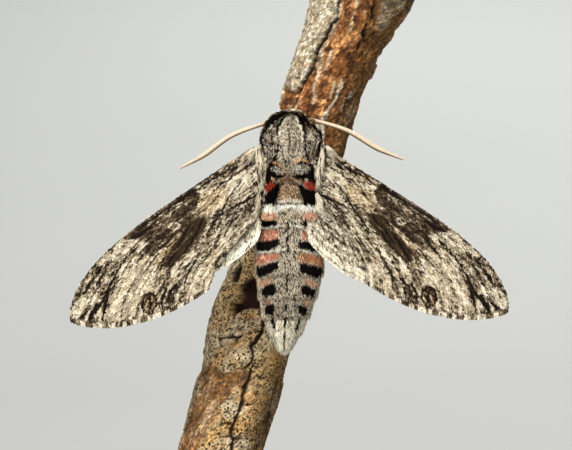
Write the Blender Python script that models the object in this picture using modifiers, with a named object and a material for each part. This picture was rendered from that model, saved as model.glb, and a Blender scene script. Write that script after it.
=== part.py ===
"""Convolvulus hawk-moth at rest, head up, on a cut length of leaning branch that a plain display stand holds.

The frame: the origin is the centre of the underside of the stand's base, +Z is up, and the moth's back faces -Y,
so a viewer at -Y sees the moth from above with its left wing at -X. Every size below is in millimetres, and
lengths along the moth's body are measured from its waist, + towards the head. The meshes are made in metres.
"""

import math

import bmesh
import bpy
import numpy as np
from mathutils import Matrix, Vector

MM = 0.001
GAP = 0.3

# The stand: a flat base and one short rod.
BASE_WIDTH = 92.0
BASE_DEPTH = 56.0
BASE_HEIGHT = 7.0
BASE_CORNER = 9.0
BASE_EDGE = 0.8
ROD_RADIUS = 2.4
ROD_FOOT_RADIUS = 5.5
ROD_FOOT_HEIGHT = 1.5
ROD_LENGTH = 14.0

# The perch: a branch that leans to the viewer's right and is sawn level at both ends.
PERCH_RADIUS = 8.0
PERCH_TAPER = 0.0009
PERCH_LEAN = math.tan(math.radians(16.1))
PERCH_HEIGHT = 92.6
PERCH_FOOT = (-14.0, 9.2, BASE_HEIGHT + ROD_LENGTH + 2 * GAP)
PERCH_SIDES = 28
PERCH_RINGS = 26
PERCH_SPOTS = (
    {"height": 92.0, "angle": 88.0, "swell": 4.2, "tall": 9.0, "wide": 42.0},
    {"height": 35.0, "angle": -28.0, "swell": -1.4, "tall": 4.2, "wide": 20.0},
    {"height": 31.0, "angle": -84.0, "swell": 1.3, "tall": 9.0, "wide": 38.0},
)

# The moth as a whole: its waist, where thorax and abdomen meet, how far its head leans to the viewer's right, and
# how far its belly bows that way.
WAIST_X = 0.68
WAIST_Z = 77.9
BODY_LEAN = math.tan(math.radians(1.8))
BELLY_BOW = {"along": -16.0, "swell": 0.5, "long": 8.0}

# Stations of each body form: distance from the waist, half width, half depth and the depth of its middle.
THORAX = (
    (-1.6, 0.0, 0.0, -8.3),
    (-0.9, 3.7, 3.4, -8.3),
    (1.0, 4.9, 4.7, -8.5),
    (4.0, 5.5, 5.5, -8.8),
    (7.4, 5.7, 5.6, -8.8),
    (9.3, 4.6, 4.2, -9.2),
    (10.7, 2.8, 2.5, -9.5),
    (11.2, 0.0, 0.0, -9.6),
)
HEAD = (
    (6.6, 0.0, 0.0, -6.6),
    (7.2, 2.1, 1.9, -6.6),
    (9.0, 3.4, 3.1, -6.7),
    (10.9, 3.5, 3.2, -6.9),
    (12.4, 2.3, 2.1, -7.1),
    (13.0, 0.0, 0.0, -7.2),
)
ABDOMEN = (
    (0.2, 0.0, 0.0, -8.1),
    (-0.4, 4.3, 3.6, -8.1),
    (-3.5, 5.7, 4.2, -7.8),
    (-9.0, 6.3, 4.4, -7.6),
    (-15.0, 6.5, 4.4, -7.2),
    (-20.2, 5.8, 3.9, -6.4),
    (-24.0, 4.9, 3.2, -5.4),
    (-27.6, 3.6, 2.4, -4.4),
    (-30.6, 2.2, 1.6, -3.5),
    (-32.3, 1.1, 0.9, -3.1),
    (-32.8, 0.0, 0.0, -3.0),
)
THORAX_SQUARENESS = 2.6
BODY_SQUARENESS = 2.2
TERGITE_EDGES = (-4.3, -8.4, -12.8, -17.2, -21.5, -25.2, -28.5)
TERGITE_STEP = 0.26
TEGULA = {"along": 6.4, "angle": 52.0, "swell": 0.42, "long": 3.4, "wide": 20.0}
CREST = {"along": 7.0, "angle": 0.0, "swell": 0.3, "long": 4.2, "wide": 13.0}
REAR_TUFT = {"along": 1.7, "angle": 27.0, "swell": 0.55, "long": 1.1, "wide": 15.0}

EYE_RADIUS = 1.6
EYE = (2.5, -6.0, 10.8)
PALP = {"centre": (1.32, -4.3, 11.7), "radii": (0.74, 1.75, 1.0), "nod": 38.0}
TONGUE_CENTRE = (-2.2, 11.5)
TONGUE_START = 144.0
TONGUE_OUTER = 1.3
TONGUE_INNER = 0.4
TONGUE_TURNS = 1.5
TONGUE_RADIUS = 0.2

# Each feeler: where it leaves the head, its corners and its tip, as (across, depth, along), and its thickness.
FEELERS = {
    "left": ((-2.2, -8.3, 11.9), (-4.2, -9.0, 11.2), (-10.8, -9.9, 8.8), (-16.4, -9.6, 4.8), (-20.3, -9.0, 2.4)),
    "right": ((2.2, -8.3, 12.0), (3.8, -9.0, 11.7), (10.1, -9.9, 9.7), (16.1, -9.6, 6.2), (20.9, -9.0, 4.0)),
}
FEELER_RADII = (0.3, 0.27, 0.36, 0.4, 0.16)
FEELER_POINTS = 26

# The wings lie on one sloping sheet. Its depth is given near the body, with its slope and curl away from it.
SHEET_DEPTH = -12.95
SHEET_START = 3.2
SHEET_SLOPE = 0.17
SHEET_CURL = 0.0022
WING_THICKNESS = 0.5
VEIN_HEIGHT = 0.2
# Shares of a wing's length: where its veins spread from base to margin, over what length each one rises, over what
# length all of them rise from the root, and how near the margin its scallops start.
VEIN_SPREAD = (0.08, 0.8)
VEIN_RUN = 0.12
ROOT_RUN = 0.12
SCALLOP_START = 0.9
MARGIN_POWER = 0.8

# A wing's plan is a Coons patch on its four edges. Lengths run along the line from root to apex, and across it
# towards the inner edge. A vein is (its place at the base, its place at the margin, where it starts to rise).
FOREWING = {
    "length": 45.0,
    "base": (-4.0, -0.3),
    "shoulder": 4.07,
    "shoulder_round": (4.5, 0.75),
    "root_bend": 1.1,
    "inner_base": 2.35,
    "tornus": (20.9, 11.5),
    "margin_bulge": 10.85,
    "veins": (
        (0.16, 0.09, 0.5),
        (0.22, 0.2, 0.42),
        (0.29, 0.32, 0.0),
        (0.4, 0.44, 0.5),
        (0.5, 0.56, 0.46),
        (0.57, 0.68, 0.0),
        (0.64, 0.8, 0.36),
        (0.86, 0.93, 0.0),
    ),
    "rows": 12,
    "scallop": 0.16,
}
HINDWING = {
    "length": 25.9,
    "base": (-2.9, -0.6),
    "shoulder": 1.5,
    "shoulder_round": (4.0, 0.8),
    "root_bend": 0.75,
    "inner_base": 2.0,
    "tornus": (7.4, 8.2),
    "margin_bulge": 10.7,
    "veins": (
        (0.14, 0.1, 0.0),
        (0.28, 0.23, 0.4),
        (0.36, 0.36, 0.0),
        (0.5, 0.5, 0.45),
        (0.6, 0.63, 0.0),
        (0.7, 0.77, 0.35),
        (0.88, 0.9, 0.0),
    ),
    "rows": 8,
    "scallop": 0.14,
}
# Where each wing's frame sits, as (across, along), how far its length is swept back from square to the body, how
# far its inner edge bows out and then flares to the tornus, and how far it lies behind the sheet.
WING_SEATS = {
    "forewing_left": {
        "plan": FOREWING,
        "side": -1,
        "seat": (-5.1, 2.05),
        "sweep": 38.7,
        "inner": (9.5, 2.6),
        "drop": 0.0,
    },
    "forewing_right": {
        "plan": FOREWING,
        "side": 1,
        "seat": (5.3, 2.4),
        "sweep": 36.4,
        "inner": (2.5, 4.0),
        "drop": 0.0,
    },
    "hindwing_left": {
        "plan": HINDWING,
        "side": -1,
        "seat": (-5.1, 0.2),
        "sweep": 42.0,
        "inner": (0.0, 0.0),
        "drop": 1.02,
    },
    "hindwing_right": {
        "plan": HINDWING,
        "side": 1,
        "seat": (5.1, 0.0),
        "sweep": 47.0,
        "inner": (0.0, 0.0),
        "drop": 1.02,
    },
}

# Each leg, from its root inside the thorax, as (across, depth, along): root, hip joint and knee. Then ankle and toe
# on the branch as (along, degrees round it from the viewer's side), and the number of spurs on its shin.
LEGS = {
    "foreleg_left": {
        "bones": ((-1.9, -5.2, 7.2), (-2.4, -2.2, 7.9), (-5.1, -1.3, 8.0)),
        "foot": ((9.2, -47.0), (12.0, -38.0)),
        "spurs": 1,
    },
    "foreleg_right": {
        "bones": ((1.9, -5.2, 7.2), (2.5, -2.2, 7.9), (5.4, -1.9, 5.8)),
        "foot": ((8.0, -1.0), (10.7, -12.0)),
        "spurs": 1,
    },
    "midleg_left": {
        "bones": ((-2.3, -4.8, 4.3), (-3.0, -2.2, 3.8), (-7.6, -3.4, 3.6)),
        "foot": ((0.5, -52.0), (-4.4, -50.0)),
        "spurs": 2,
    },
    "midleg_right": {
        "bones": ((2.3, -4.8, 4.3), (3.0, -2.2, 3.8), (8.2, -3.6, 3.6)),
        "foot": ((-0.5, 30.0), (-5.4, 40.0)),
        "spurs": 2,
    },
    "hindleg_left": {
        "bones": ((-2.2, -4.6, 1.2), (-2.9, -2.0, 0.4), (-7.0, -2.4, -3.4)),
        "foot": ((-9.5, -42.0), (-15.0, -22.0)),
        "spurs": 4,
    },
    "hindleg_right": {
        "bones": ((2.2, -4.6, 1.2), (2.9, -2.0, 0.4), (7.2, -2.6, -3.6)),
        "foot": ((-9.5, 38.0), (-15.2, 52.0)),
        "spurs": 4,
    },
}
# Radii along each leg's sections, from the end nearer the body to the other.
HIP_RADII = (0.95, 0.95, 0.7)
THIGH_RADII = (0.45, 0.72, 0.74, 0.62, 0.36)
SHIN_RADII = (0.3, 0.44, 0.5, 0.52, 0.4)
FOOT_RADII = (0.3, 0.34, 0.31, 0.31, 0.28, 0.22)
SPUR_LENGTH = 1.5
SPUR_RADIUS = 0.28
CLAW_LENGTH = 0.9

COLOURS = {
    "coat": ((0.36, 0.32, 0.27), 0.85, 0.0),
    "wing": ((0.42, 0.37, 0.3), 0.8, 0.0),
    "eye": ((0.05, 0.035, 0.02), 0.25, 0.0),
    "feeler": ((0.75, 0.68, 0.56), 0.6, 0.0),
    "leg": ((0.4, 0.35, 0.29), 0.8, 0.0),
    "tongue": ((0.2, 0.1, 0.04), 0.4, 0.0),
    "bark": ((0.33, 0.24, 0.15), 0.95, 0.0),
    "base": ((0.12, 0.07, 0.04), 0.4, 0.0),
    "rod": ((0.6, 0.6, 0.6), 0.3, 1.0),
}


def clear_scene():
    for item in list(bpy.data.objects):
        bpy.data.objects.remove(item, do_unlink=True)


def new_collection(name):
    collection = bpy.data.collections.new(name)
    bpy.context.scene.collection.children.link(collection)
    return collection


def material(name):
    colour, roughness, metallic = COLOURS[name]
    found = bpy.data.materials.get(name) or bpy.data.materials.new(name)
    found.use_nodes = True
    shader = found.node_tree.nodes["Principled BSDF"]
    shader.inputs["Base Color"].default_value = (*colour, 1.0)
    shader.inputs["Roughness"].default_value = roughness
    shader.inputs["Metallic"].default_value = metallic
    return found


def add_object(name, data, finish, collection):
    if finish:
        data.materials.append(material(finish))
    obj = bpy.data.objects.new(name, data)
    collection.objects.link(obj)
    return obj


def mesh_of(bm, name):
    """Turns a bmesh made in millimetres into a mesh in metres, and frees it."""
    bmesh.ops.scale(bm, vec=(MM, MM, MM), verts=bm.verts)
    mesh = bpy.data.meshes.new(name)
    bm.to_mesh(mesh)
    bm.free()
    return mesh


def as_cutter(obj):
    obj.hide_render = True
    obj.display_type = "WIRE"
    return obj


def combine(obj, operation, other, solver="EXACT"):
    modifier = obj.modifiers.new(operation.lower(), "BOOLEAN")
    modifier.operation = operation
    modifier.solver = solver
    modifier.object = other


def applied(obj):
    """Replaces the object's data by its evaluated mesh, with near points merged."""
    graph = bpy.context.evaluated_depsgraph_get()
    mesh = bpy.data.meshes.new_from_object(obj.evaluated_get(graph))
    bm = bmesh.new()
    bm.from_mesh(mesh)
    bmesh.ops.remove_doubles(bm, verts=bm.verts, dist=1e-6)
    bm.to_mesh(mesh)
    bm.free()
    return mesh


def smooth_through(stations, at):
    """Reads the columns of a station table at any place: a cubic between neighbours, with slopes that never overshoot."""
    table = np.array(sorted(stations), float)
    place, values = table[:, 0], table[:, 1:]
    step = np.diff(place)[:, None]
    rise = np.diff(values, axis=0) / step
    slope = np.zeros_like(values)
    same = rise[:-1] * rise[1:] > 0
    with np.errstate(divide="ignore", invalid="ignore"):
        slope[1:-1] = np.where(same, 2 * rise[:-1] * rise[1:] / (rise[:-1] + rise[1:]), 0.0)
    slope[0], slope[-1] = rise[0], rise[-1]
    at = np.clip(np.asarray(at, float), place[0], place[-1])
    low = np.clip(np.searchsorted(place, at, side="right") - 1, 0, len(place) - 2)
    t = ((at - place[low]) / (place[low + 1] - place[low]))[:, None]
    h = step[low]
    return (
        values[low] * (1 + 2 * t) * (1 - t) ** 2
        + slope[low] * h * t * (1 - t) ** 2
        + values[low + 1] * t * t * (3 - 2 * t)
        - slope[low + 1] * h * t * t * (1 - t)
    )


def axis_x(along):
    """The body's middle, across, at a distance from the waist."""
    along = np.asarray(along, float)
    bow = BELLY_BOW["swell"] * np.exp(-(((along - BELLY_BOW["along"]) / BELLY_BOW["long"]) ** 2))
    return WAIST_X + BODY_LEAN * along + bow


def swelling(along, angle, spot, mirrored=False):
    """A smooth rise on a body form, centred at a distance from the waist and an angle from the back."""
    degrees = np.abs(np.degrees(angle)) if mirrored else np.degrees(angle)
    rise = ((along - spot["along"]) / spot["long"]) ** 2 + ((degrees - spot["angle"]) / spot["wide"]) ** 2
    return spot["swell"] * np.exp(-rise)


def body_point(stations, squareness, along, angle, grow=0.0, rise=0.0):
    """A point on a body form. The angle runs from the back, + towards +X; grow moves the surface outwards."""
    half_width, half_depth, middle = smooth_through(stations, along).T
    cross = np.abs(np.sin(angle)) ** squareness + np.abs(np.cos(angle)) ** squareness
    reach = cross ** (-1.0 / squareness)
    lift = grow + rise
    x = axis_x(along) + np.sin(angle) * (half_width * reach + lift)
    y = middle - np.cos(angle) * (half_depth * reach + lift)
    return np.stack([x, y, WAIST_Z + along], axis=1)


def thorax_rise(along, angle):
    """Shoulder plates, a low crest along the middle and the two tufts at the rear of the thorax."""
    return (
        swelling(along, angle, TEGULA, mirrored=True)
        + swelling(along, angle, CREST)
        + swelling(along, angle, REAR_TUFT, mirrored=True)
    )


def tergite_rise(along, angle):
    """Each ring of the abdomen swells towards its rear edge and drops at it to the next ring."""
    edges = np.array(sorted(TERGITE_EDGES))
    behind = edges[np.clip(np.searchsorted(edges, along), 0, len(edges) - 1)]
    ring = np.where(along <= edges[0], 0.0, 1.0)
    previous = edges[np.clip(np.searchsorted(edges, along) - 1, 0, len(edges) - 1)]
    share = np.clip(1 - (along - previous) / np.maximum(behind - previous, 1.0), 0.0, 1.0)
    return TERGITE_STEP * ring * share**2


def body_form(name, stations, squareness, rings, sides, finish, collection, rise=None, grow=0.0):
    """A UV sphere whose rings are moved to the form's stations and outline."""
    places = np.array(rings, float)
    bm = bmesh.new()
    bmesh.ops.create_uvsphere(bm, u_segments=sides, v_segments=len(places) - 1, radius=1.0)
    flat = np.array([v.co for v in bm.verts])
    ring = np.rint(np.arccos(np.clip(flat[:, 2], -1, 1)) / math.pi * (len(places) - 1)).astype(int)
    along = places[ring]
    angle = np.arctan2(flat[:, 0], -flat[:, 1])
    lift = rise(along, angle) if rise else np.zeros(len(along))
    at_pole = (ring == 0) | (ring == len(places) - 1)
    pole_grow = grow * np.where(ring == 0, 1.0, -1.0) * np.sign(places[0] - places[-1])
    spot = body_point(stations, squareness, along, angle, grow, np.where(at_pole, -grow, lift))
    spot[:, 2] += np.where(at_pole, pole_grow, 0.0)
    for vert, place in zip(bm.verts, spot):
        vert.co = place
    bmesh.ops.recalc_face_normals(bm, faces=bm.faces)
    obj = add_object(name, mesh_of(bm, name), finish, collection)
    obj.data.shade_smooth()
    return obj


def even_rings(stations, count):
    """Ring places from one end of a form to the other, closer together near its two rounded ends."""
    ends = (max(s[0] for s in stations), min(s[0] for s in stations))
    share = (1 - np.cos(np.linspace(0, math.pi, count))) / 2
    even = np.linspace(0, 1, count)
    return ends[0] + (ends[1] - ends[0]) * (0.6 * share + 0.4 * even)


def abdomen_rings(between=1, edge_width=0.12):
    """Ring places for the abdomen: two at each tergite's edge, so that it makes a step, and some between."""
    front, tip = ABDOMEN[0][0], ABDOMEN[-1][0]
    places = [front, -0.1, -0.4, -1.6]
    for edge in TERGITE_EDGES:
        inner = np.linspace(places[-1], edge + edge_width / 2, between + 2)[1:]
        places += [*inner, edge - edge_width / 2]
    places += [-30.2, -31.6, -32.5, tip]
    return places


def loose_tube(name, points, radii, sides_level, finish, collection):
    """A curve object along points, each with its own radius, with flat filled caps."""
    curve = bpy.data.curves.new(name, "CURVE")
    curve.dimensions = "3D"
    curve.bevel_depth = MM
    curve.bevel_resolution = sides_level
    curve.use_fill_caps = True
    spline = curve.splines.new("POLY")
    spline.points.add(len(points) - 1)
    for point, place, radius in zip(spline.points, points, radii):
        point.co = (place[0] * MM, place[1] * MM, place[2] * MM, 1.0)
        point.radius = radius
    return add_object(name, curve, finish, collection)


def closed_tube(name, points, radii, sides_level, finish, collection):
    """The same tube as a closed mesh, so that Booleans can cut and join it."""
    curve = loose_tube(name + "_line", points, radii, sides_level, finish, collection)
    mesh = applied(curve)
    bpy.data.objects.remove(curve)
    obj = add_object(name, mesh, None, collection)
    obj.data.shade_smooth()
    return obj


def through_corners(corners, count):
    """A smooth line through corner points, read at an even number of places, by chord length."""
    corners = np.array(corners, float)
    reach = np.concatenate([[0.0], np.cumsum(np.linalg.norm(np.diff(corners, axis=0), axis=1))])
    table = np.column_stack([reach, corners])
    return smooth_through([tuple(row) for row in table], np.linspace(0, reach[-1], count))


def spot_rise(height, angle, spot):
    turn = (np.degrees(angle) - spot["angle"] + 180.0) % 360.0 - 180.0
    return spot["swell"] * np.exp(-((height - spot["height"]) / spot["tall"]) ** 2 - (turn / spot["wide"]) ** 2)


def perch_radius(height, angle):
    """The branch's uneven radius at a height above its foot and an angle from the viewer's side."""
    waves = (
        0.022 * np.sin(3 * angle + 0.11 * height)
        + 0.016 * np.sin(5 * angle - 0.17 * height + 1.3)
        + 0.014 * np.sin(0.31 * height + 2 * angle)
    )
    return PERCH_RADIUS * (1 + waves - PERCH_TAPER * height) + sum(spot_rise(height, angle, s) for s in PERCH_SPOTS)


def perch_point(height, angle, lift=0.0):
    """A point on the branch. Its level sections are ellipses, because it leans; lift is the distance off it."""
    radius = perch_radius(height, angle) + lift
    stretch = math.hypot(1.0, PERCH_LEAN)
    return np.stack(
        [
            PERCH_FOOT[0] + PERCH_LEAN * height + radius * stretch * np.sin(angle),
            PERCH_FOOT[1] - radius * np.cos(angle),
            PERCH_FOOT[2] + height + 0.0 * radius,
        ],
        axis=-1,
    )


def perch_height(along):
    """Height above the branch's foot of a place at a distance from the moth's waist."""
    return WAIST_Z + along - PERCH_FOOT[2]


def make_base(collection):
    """A rounded slab: a flat outline with straight sides and round corners, thickened and eased at its edges."""
    outline = bpy.data.curves.new("stand_base", "CURVE")
    outline.dimensions = "2D"
    outline.fill_mode = "BOTH"
    outline.extrude = (BASE_HEIGHT / 2 - BASE_EDGE) * MM
    outline.bevel_depth = BASE_EDGE * MM
    outline.bevel_resolution = 1
    outline.offset = -BASE_EDGE * MM
    arc = 8
    spline = outline.splines.new("POLY")
    spline.use_cyclic_u = True
    spline.points.add(4 * (arc + 1) - 1)
    corners = ((1, 1), (-1, 1), (-1, -1), (1, -1))
    for i, point in enumerate(spline.points):
        quarter, step = divmod(i, arc + 1)
        turn = math.radians(90 * quarter + 90 * step / arc)
        side_x, side_y = corners[quarter]
        x = side_x * (BASE_WIDTH / 2 - BASE_CORNER) + BASE_CORNER * math.cos(turn)
        y = side_y * (BASE_DEPTH / 2 - BASE_CORNER) + BASE_CORNER * math.sin(turn)
        point.co = (x * MM, y * MM, 0.0, 1.0)
    obj = add_object("stand_base", outline, "base", collection)
    obj.location = (0.0, 0.0, BASE_HEIGHT / 2 * MM)
    return obj


def make_rod(collection):
    """A turned rod on a low round foot, from its profile at +X, top to bottom."""
    top = ROD_LENGTH
    profile = [
        (0.0, top),
        (ROD_RADIUS, top),
        (ROD_RADIUS, ROD_FOOT_HEIGHT + 0.8),
        (ROD_RADIUS + 0.8, ROD_FOOT_HEIGHT),
        (ROD_FOOT_RADIUS - 0.4, ROD_FOOT_HEIGHT),
        (ROD_FOOT_RADIUS, ROD_FOOT_HEIGHT - 0.4),
        (ROD_FOOT_RADIUS, 0.0),
        (0.0, 0.0),
    ]
    mesh = bpy.data.meshes.new("stand_rod")
    mesh.from_pydata([(x * MM, 0.0, z * MM) for x, z in profile], [(i, i + 1) for i in range(len(profile) - 1)], [])
    obj = add_object("stand_rod", mesh, "rod", collection)
    screw = obj.modifiers.new("turn", "SCREW")
    screw.steps = screw.render_steps = 24
    screw.use_merge_vertices = True
    screw.merge_threshold = 1e-6
    obj.location = (PERCH_FOOT[0] * MM, PERCH_FOOT[1] * MM, (BASE_HEIGHT + GAP) * MM)
    return obj


def make_perch(collection):
    """A capped cylinder whose rings are moved onto the leaning, uneven branch."""
    bm = bmesh.new()
    bmesh.ops.create_cone(bm, cap_ends=True, segments=PERCH_SIDES, radius1=1.0, radius2=1.0, depth=1.0)
    upright = [e for e in bm.edges if abs(e.verts[0].co.z - e.verts[1].co.z) > 0.5]
    bmesh.ops.subdivide_edges(bm, edges=upright, cuts=PERCH_RINGS - 1)
    flat = np.array([v.co for v in bm.verts])
    spots = perch_point((flat[:, 2] + 0.5) * PERCH_HEIGHT, np.arctan2(flat[:, 0], -flat[:, 1]))
    for vert, place in zip(bm.verts, spots):
        vert.co = place
    bmesh.ops.triangulate(bm, faces=[f for f in bm.faces if len(f.verts) == 4])
    obj = add_object("perch_branch", mesh_of(bm, "perch_branch"), "bark", collection)
    obj.data.shade_smooth()
    return obj


def wing_columns(wing, u):
    """Places across the wing, from leading to inner edge, at each share u of its length, and how much each rises.

    Every vein has a line of its own, with a flat line on each side of it, a third of the way to the next vein."""
    u = np.asarray(u, float)[:, None]
    spread = np.clip((u - VEIN_SPREAD[0]) / VEIN_SPREAD[1], 0, 1)
    spread = spread * spread * (3 - 2 * spread)
    veins = np.array(wing["veins"])
    lines = veins[:, 0] + (veins[:, 1] - veins[:, 0]) * spread
    started = np.clip((u - veins[:, 2]) / VEIN_RUN + 0.5, 0, 1)
    edge = np.zeros_like(u)
    lines = np.hstack([edge, lines, edge + 1])
    height = np.hstack([edge + 1, started, edge])
    across = [lines[:, :1]]
    rise = [height[:, :1]]
    for k in range(lines.shape[1] - 1):
        left, right = lines[:, k : k + 1], lines[:, k + 1 : k + 2]
        across += [left + (right - left) / 3, right - (right - left) / 3, right]
        rise += [edge, edge, height[:, k + 1 : k + 2]]
    return np.hstack(across), np.hstack(rise)


def leading_edge(wing, u):
    """Bowed leading edge: it widens evenly from the shoulder and closes on the apex as a rounded curve."""
    length = wing["length"]
    a = wing["base"][0] + (length - wing["base"][0]) * u
    share = np.clip(a / length, 0, 1)
    power, close = wing["shoulder_round"]
    c = -wing["shoulder"] * (1 + a / length) * (1 - share**power) ** close
    c += wing["root_bend"] * (np.clip(-a, 0, None) / wing["base"][0]) ** 2
    return np.stack([a, c], axis=-1)


def inner_edge(wing, inner, u):
    """Inner edge from its base to the tornus: a straight run, a bow near the base and a flare near the tornus."""
    (a1, c1), a0, c0 = wing["tornus"], wing["base"][1], wing["inner_base"]
    bow, flare = inner
    c = c0 + (c1 - c0 - bow - flare) * u + bow * np.sqrt(u) + flare * u**6
    return np.stack([a0 + (a1 - a0) * u, c], axis=-1)


def outer_margin(wing, t):
    """Outer margin from apex to tornus: a chord with a bulge nearer the apex."""
    apex, tornus = np.array([wing["length"], 0.0]), np.array(wing["tornus"])
    chord = tornus - apex
    outward = np.array([chord[1], -chord[0]]) / np.linalg.norm(chord)
    t = np.asarray(t, float)[..., None]
    return apex + chord * t + outward * wing["margin_bulge"] * t**MARGIN_POWER * (1 - t)


def wing_plan(wing, inner_shape, u, t, crenulation):
    """The Coons patch: the two long edges and the two short ones, blended, less their bilinear corners."""
    lead, inner = leading_edge(wing, u), inner_edge(wing, inner_shape, u)
    start, end = leading_edge(wing, np.zeros(1))[0], inner_edge(wing, inner_shape, np.zeros(1))[0]
    apex, tornus = np.array([wing["length"], 0.0]), np.array(wing["tornus"])
    base = start + (end - start) * t[..., None]
    margin = outer_margin(wing, t)
    u, t = u[..., None], t[..., None]
    patch = (1 - t) * lead + t * inner + (1 - u) * base + u * margin
    patch -= (1 - u) * ((1 - t) * start + t * end) + u * ((1 - t) * apex + t * tornus)
    outward = margin - tornus * 0.6
    outward = outward / np.linalg.norm(outward, axis=-1, keepdims=True)
    return patch + outward * crenulation[..., None] * np.clip((u - SCALLOP_START) / (1 - SCALLOP_START), 0, 1)


def sheet_depth(x):
    """Depth of the sheet on which the wings lie, at a distance across from the body's middle."""
    out = np.abs(x) - SHEET_START
    return SHEET_DEPTH + SHEET_SLOPE * out + SHEET_CURL * out * np.abs(out)


def make_wing(name, collection, body_cutters):
    """An open surface on its plan and sheet, with the veins raised in it, given its thickness, cut at its root."""
    seat = WING_SEATS[name]
    wing, side, (seat_x, seat_along), sweep = seat["plan"], seat["side"], seat["seat"], seat["sweep"]
    rows = wing["rows"]
    u = np.linspace(0, 1, rows + 1)
    across, rise = wing_columns(wing, u)
    grid_u = np.repeat(u[:, None], across.shape[1], axis=1)
    plan = wing_plan(wing, seat["inner"], grid_u, across, (rise - 0.5) * wing["scallop"])
    turn = math.radians(sweep)
    x = seat_x + side * (plan[..., 0] * math.cos(turn) - plan[..., 1] * math.sin(turn))
    z = WAIST_Z + seat_along - plan[..., 0] * math.sin(turn) - plan[..., 1] * math.cos(turn)
    fade = np.clip(grid_u / ROOT_RUN, 0, 1)
    y = sheet_depth(x) + seat["drop"] - VEIN_HEIGHT * rise * fade

    columns = across.shape[1]
    bm = bmesh.new()
    bmesh.ops.create_grid(bm, x_segments=columns - 1, y_segments=rows, size=1.0)
    for vert in bm.verts:
        column = round((vert.co.x + 1) / 2 * (columns - 1))
        row = round((vert.co.y + 1) / 2 * rows)
        vert.co = (x[row, column], y[row, column], z[row, column])
    bmesh.ops.triangulate(bm, faces=bm.faces)
    bmesh.ops.recalc_face_normals(bm, faces=bm.faces)
    obj = add_object(name, mesh_of(bm, name), "wing", collection)
    solid = obj.modifiers.new("thickness", "SOLIDIFY")
    solid.thickness = WING_THICKNESS * MM
    solid.offset = 0.0
    for cutter in body_cutters:
        combine(obj, "DIFFERENCE", cutter, "MANIFOLD")
    return obj


def make_eye(side, collection, grow=0.0, finish="eye"):
    x, y, along = EYE
    bm = bmesh.new()
    bmesh.ops.create_icosphere(bm, subdivisions=3, radius=EYE_RADIUS + grow)
    bmesh.ops.translate(bm, vec=(axis_x(along) + (x if side == "right" else -x), y, WAIST_Z + along), verts=bm.verts)
    obj = add_object(f"eye_{side}", mesh_of(bm, f"eye_{side}"), finish, collection)
    obj.data.shade_smooth()
    return obj


def make_palp(side, collection, head_cutter):
    """A short upturned lobe in front of the face: an egg that nods forward."""
    x, y, along = PALP["centre"]
    bm = bmesh.new()
    bmesh.ops.create_uvsphere(bm, u_segments=14, v_segments=10, radius=1.0)
    for vert in bm.verts:
        taper = 1 - 0.25 * max(vert.co.y, 0.0)
        vert.co = Vector((vert.co.x * taper, vert.co.y, vert.co.z * taper)) * Vector(PALP["radii"])
    bmesh.ops.rotate(bm, verts=bm.verts, matrix=Matrix.Rotation(math.radians(PALP["nod"]), 3, "X"))
    bmesh.ops.translate(bm, vec=(axis_x(along) + (x if side == "right" else -x), y, WAIST_Z + along), verts=bm.verts)
    obj = add_object(f"palp_{side}", mesh_of(bm, f"palp_{side}"), "coat", collection)
    obj.data.shade_smooth()
    combine(obj, "DIFFERENCE", head_cutter)
    return obj


def make_tongue(collection, head_cutter):
    """The coiled proboscis: a flat spiral in the body's middle plane, which the line from the mouth just touches."""
    turns = np.linspace(0, 1, 28)
    angle = math.radians(TONGUE_START) - turns * TONGUE_TURNS * 2 * math.pi
    radius = TONGUE_OUTER + (TONGUE_INNER - TONGUE_OUTER) * turns
    y = TONGUE_CENTRE[0] + radius * np.cos(angle)
    along = TONGUE_CENTRE[1] + radius * np.sin(angle)
    root = [(axis_x(10.6), -4.4, WAIST_Z + 10.6)]
    points = root + list(zip(axis_x(along), y, WAIST_Z + along))
    obj = closed_tube("proboscis", points, [TONGUE_RADIUS] * len(points), 2, "tongue", collection)
    combine(obj, "DIFFERENCE", head_cutter)
    return obj


def make_feeler(side, collection, head_cutter):
    """A long feeler: slender at its root, thickest past its middle, and drawn out to a fine bent tip."""
    corners = [(x + axis_x(along), y, WAIST_Z + along) for x, y, along in FEELERS[side]]
    points = through_corners(corners, FEELER_POINTS)
    share = np.linspace(0, len(FEELER_RADII) - 1, FEELER_POINTS)
    radii = np.interp(share, range(len(FEELER_RADII)), FEELER_RADII)
    obj = closed_tube(f"antenna_{side}", points, radii, 2, "feeler", collection)
    combine(obj, "DIFFERENCE", head_cutter)
    return obj


def cone_between(name, start, end, radius, collection):
    """A pointed spur or claw from a thick root to a fine tip."""
    start, end = Vector(start), Vector(end)
    bm = bmesh.new()
    length = (end - start).length
    bmesh.ops.create_cone(bm, cap_ends=True, segments=6, radius1=radius, radius2=radius * 0.3, depth=length)
    turn = (end - start).to_track_quat("Z", "Y").to_matrix()
    bmesh.ops.rotate(bm, verts=bm.verts, matrix=turn)
    bmesh.ops.translate(bm, vec=(start + end) / 2, verts=bm.verts)
    return add_object(name, mesh_of(bm, name), "leg", collection)


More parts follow.
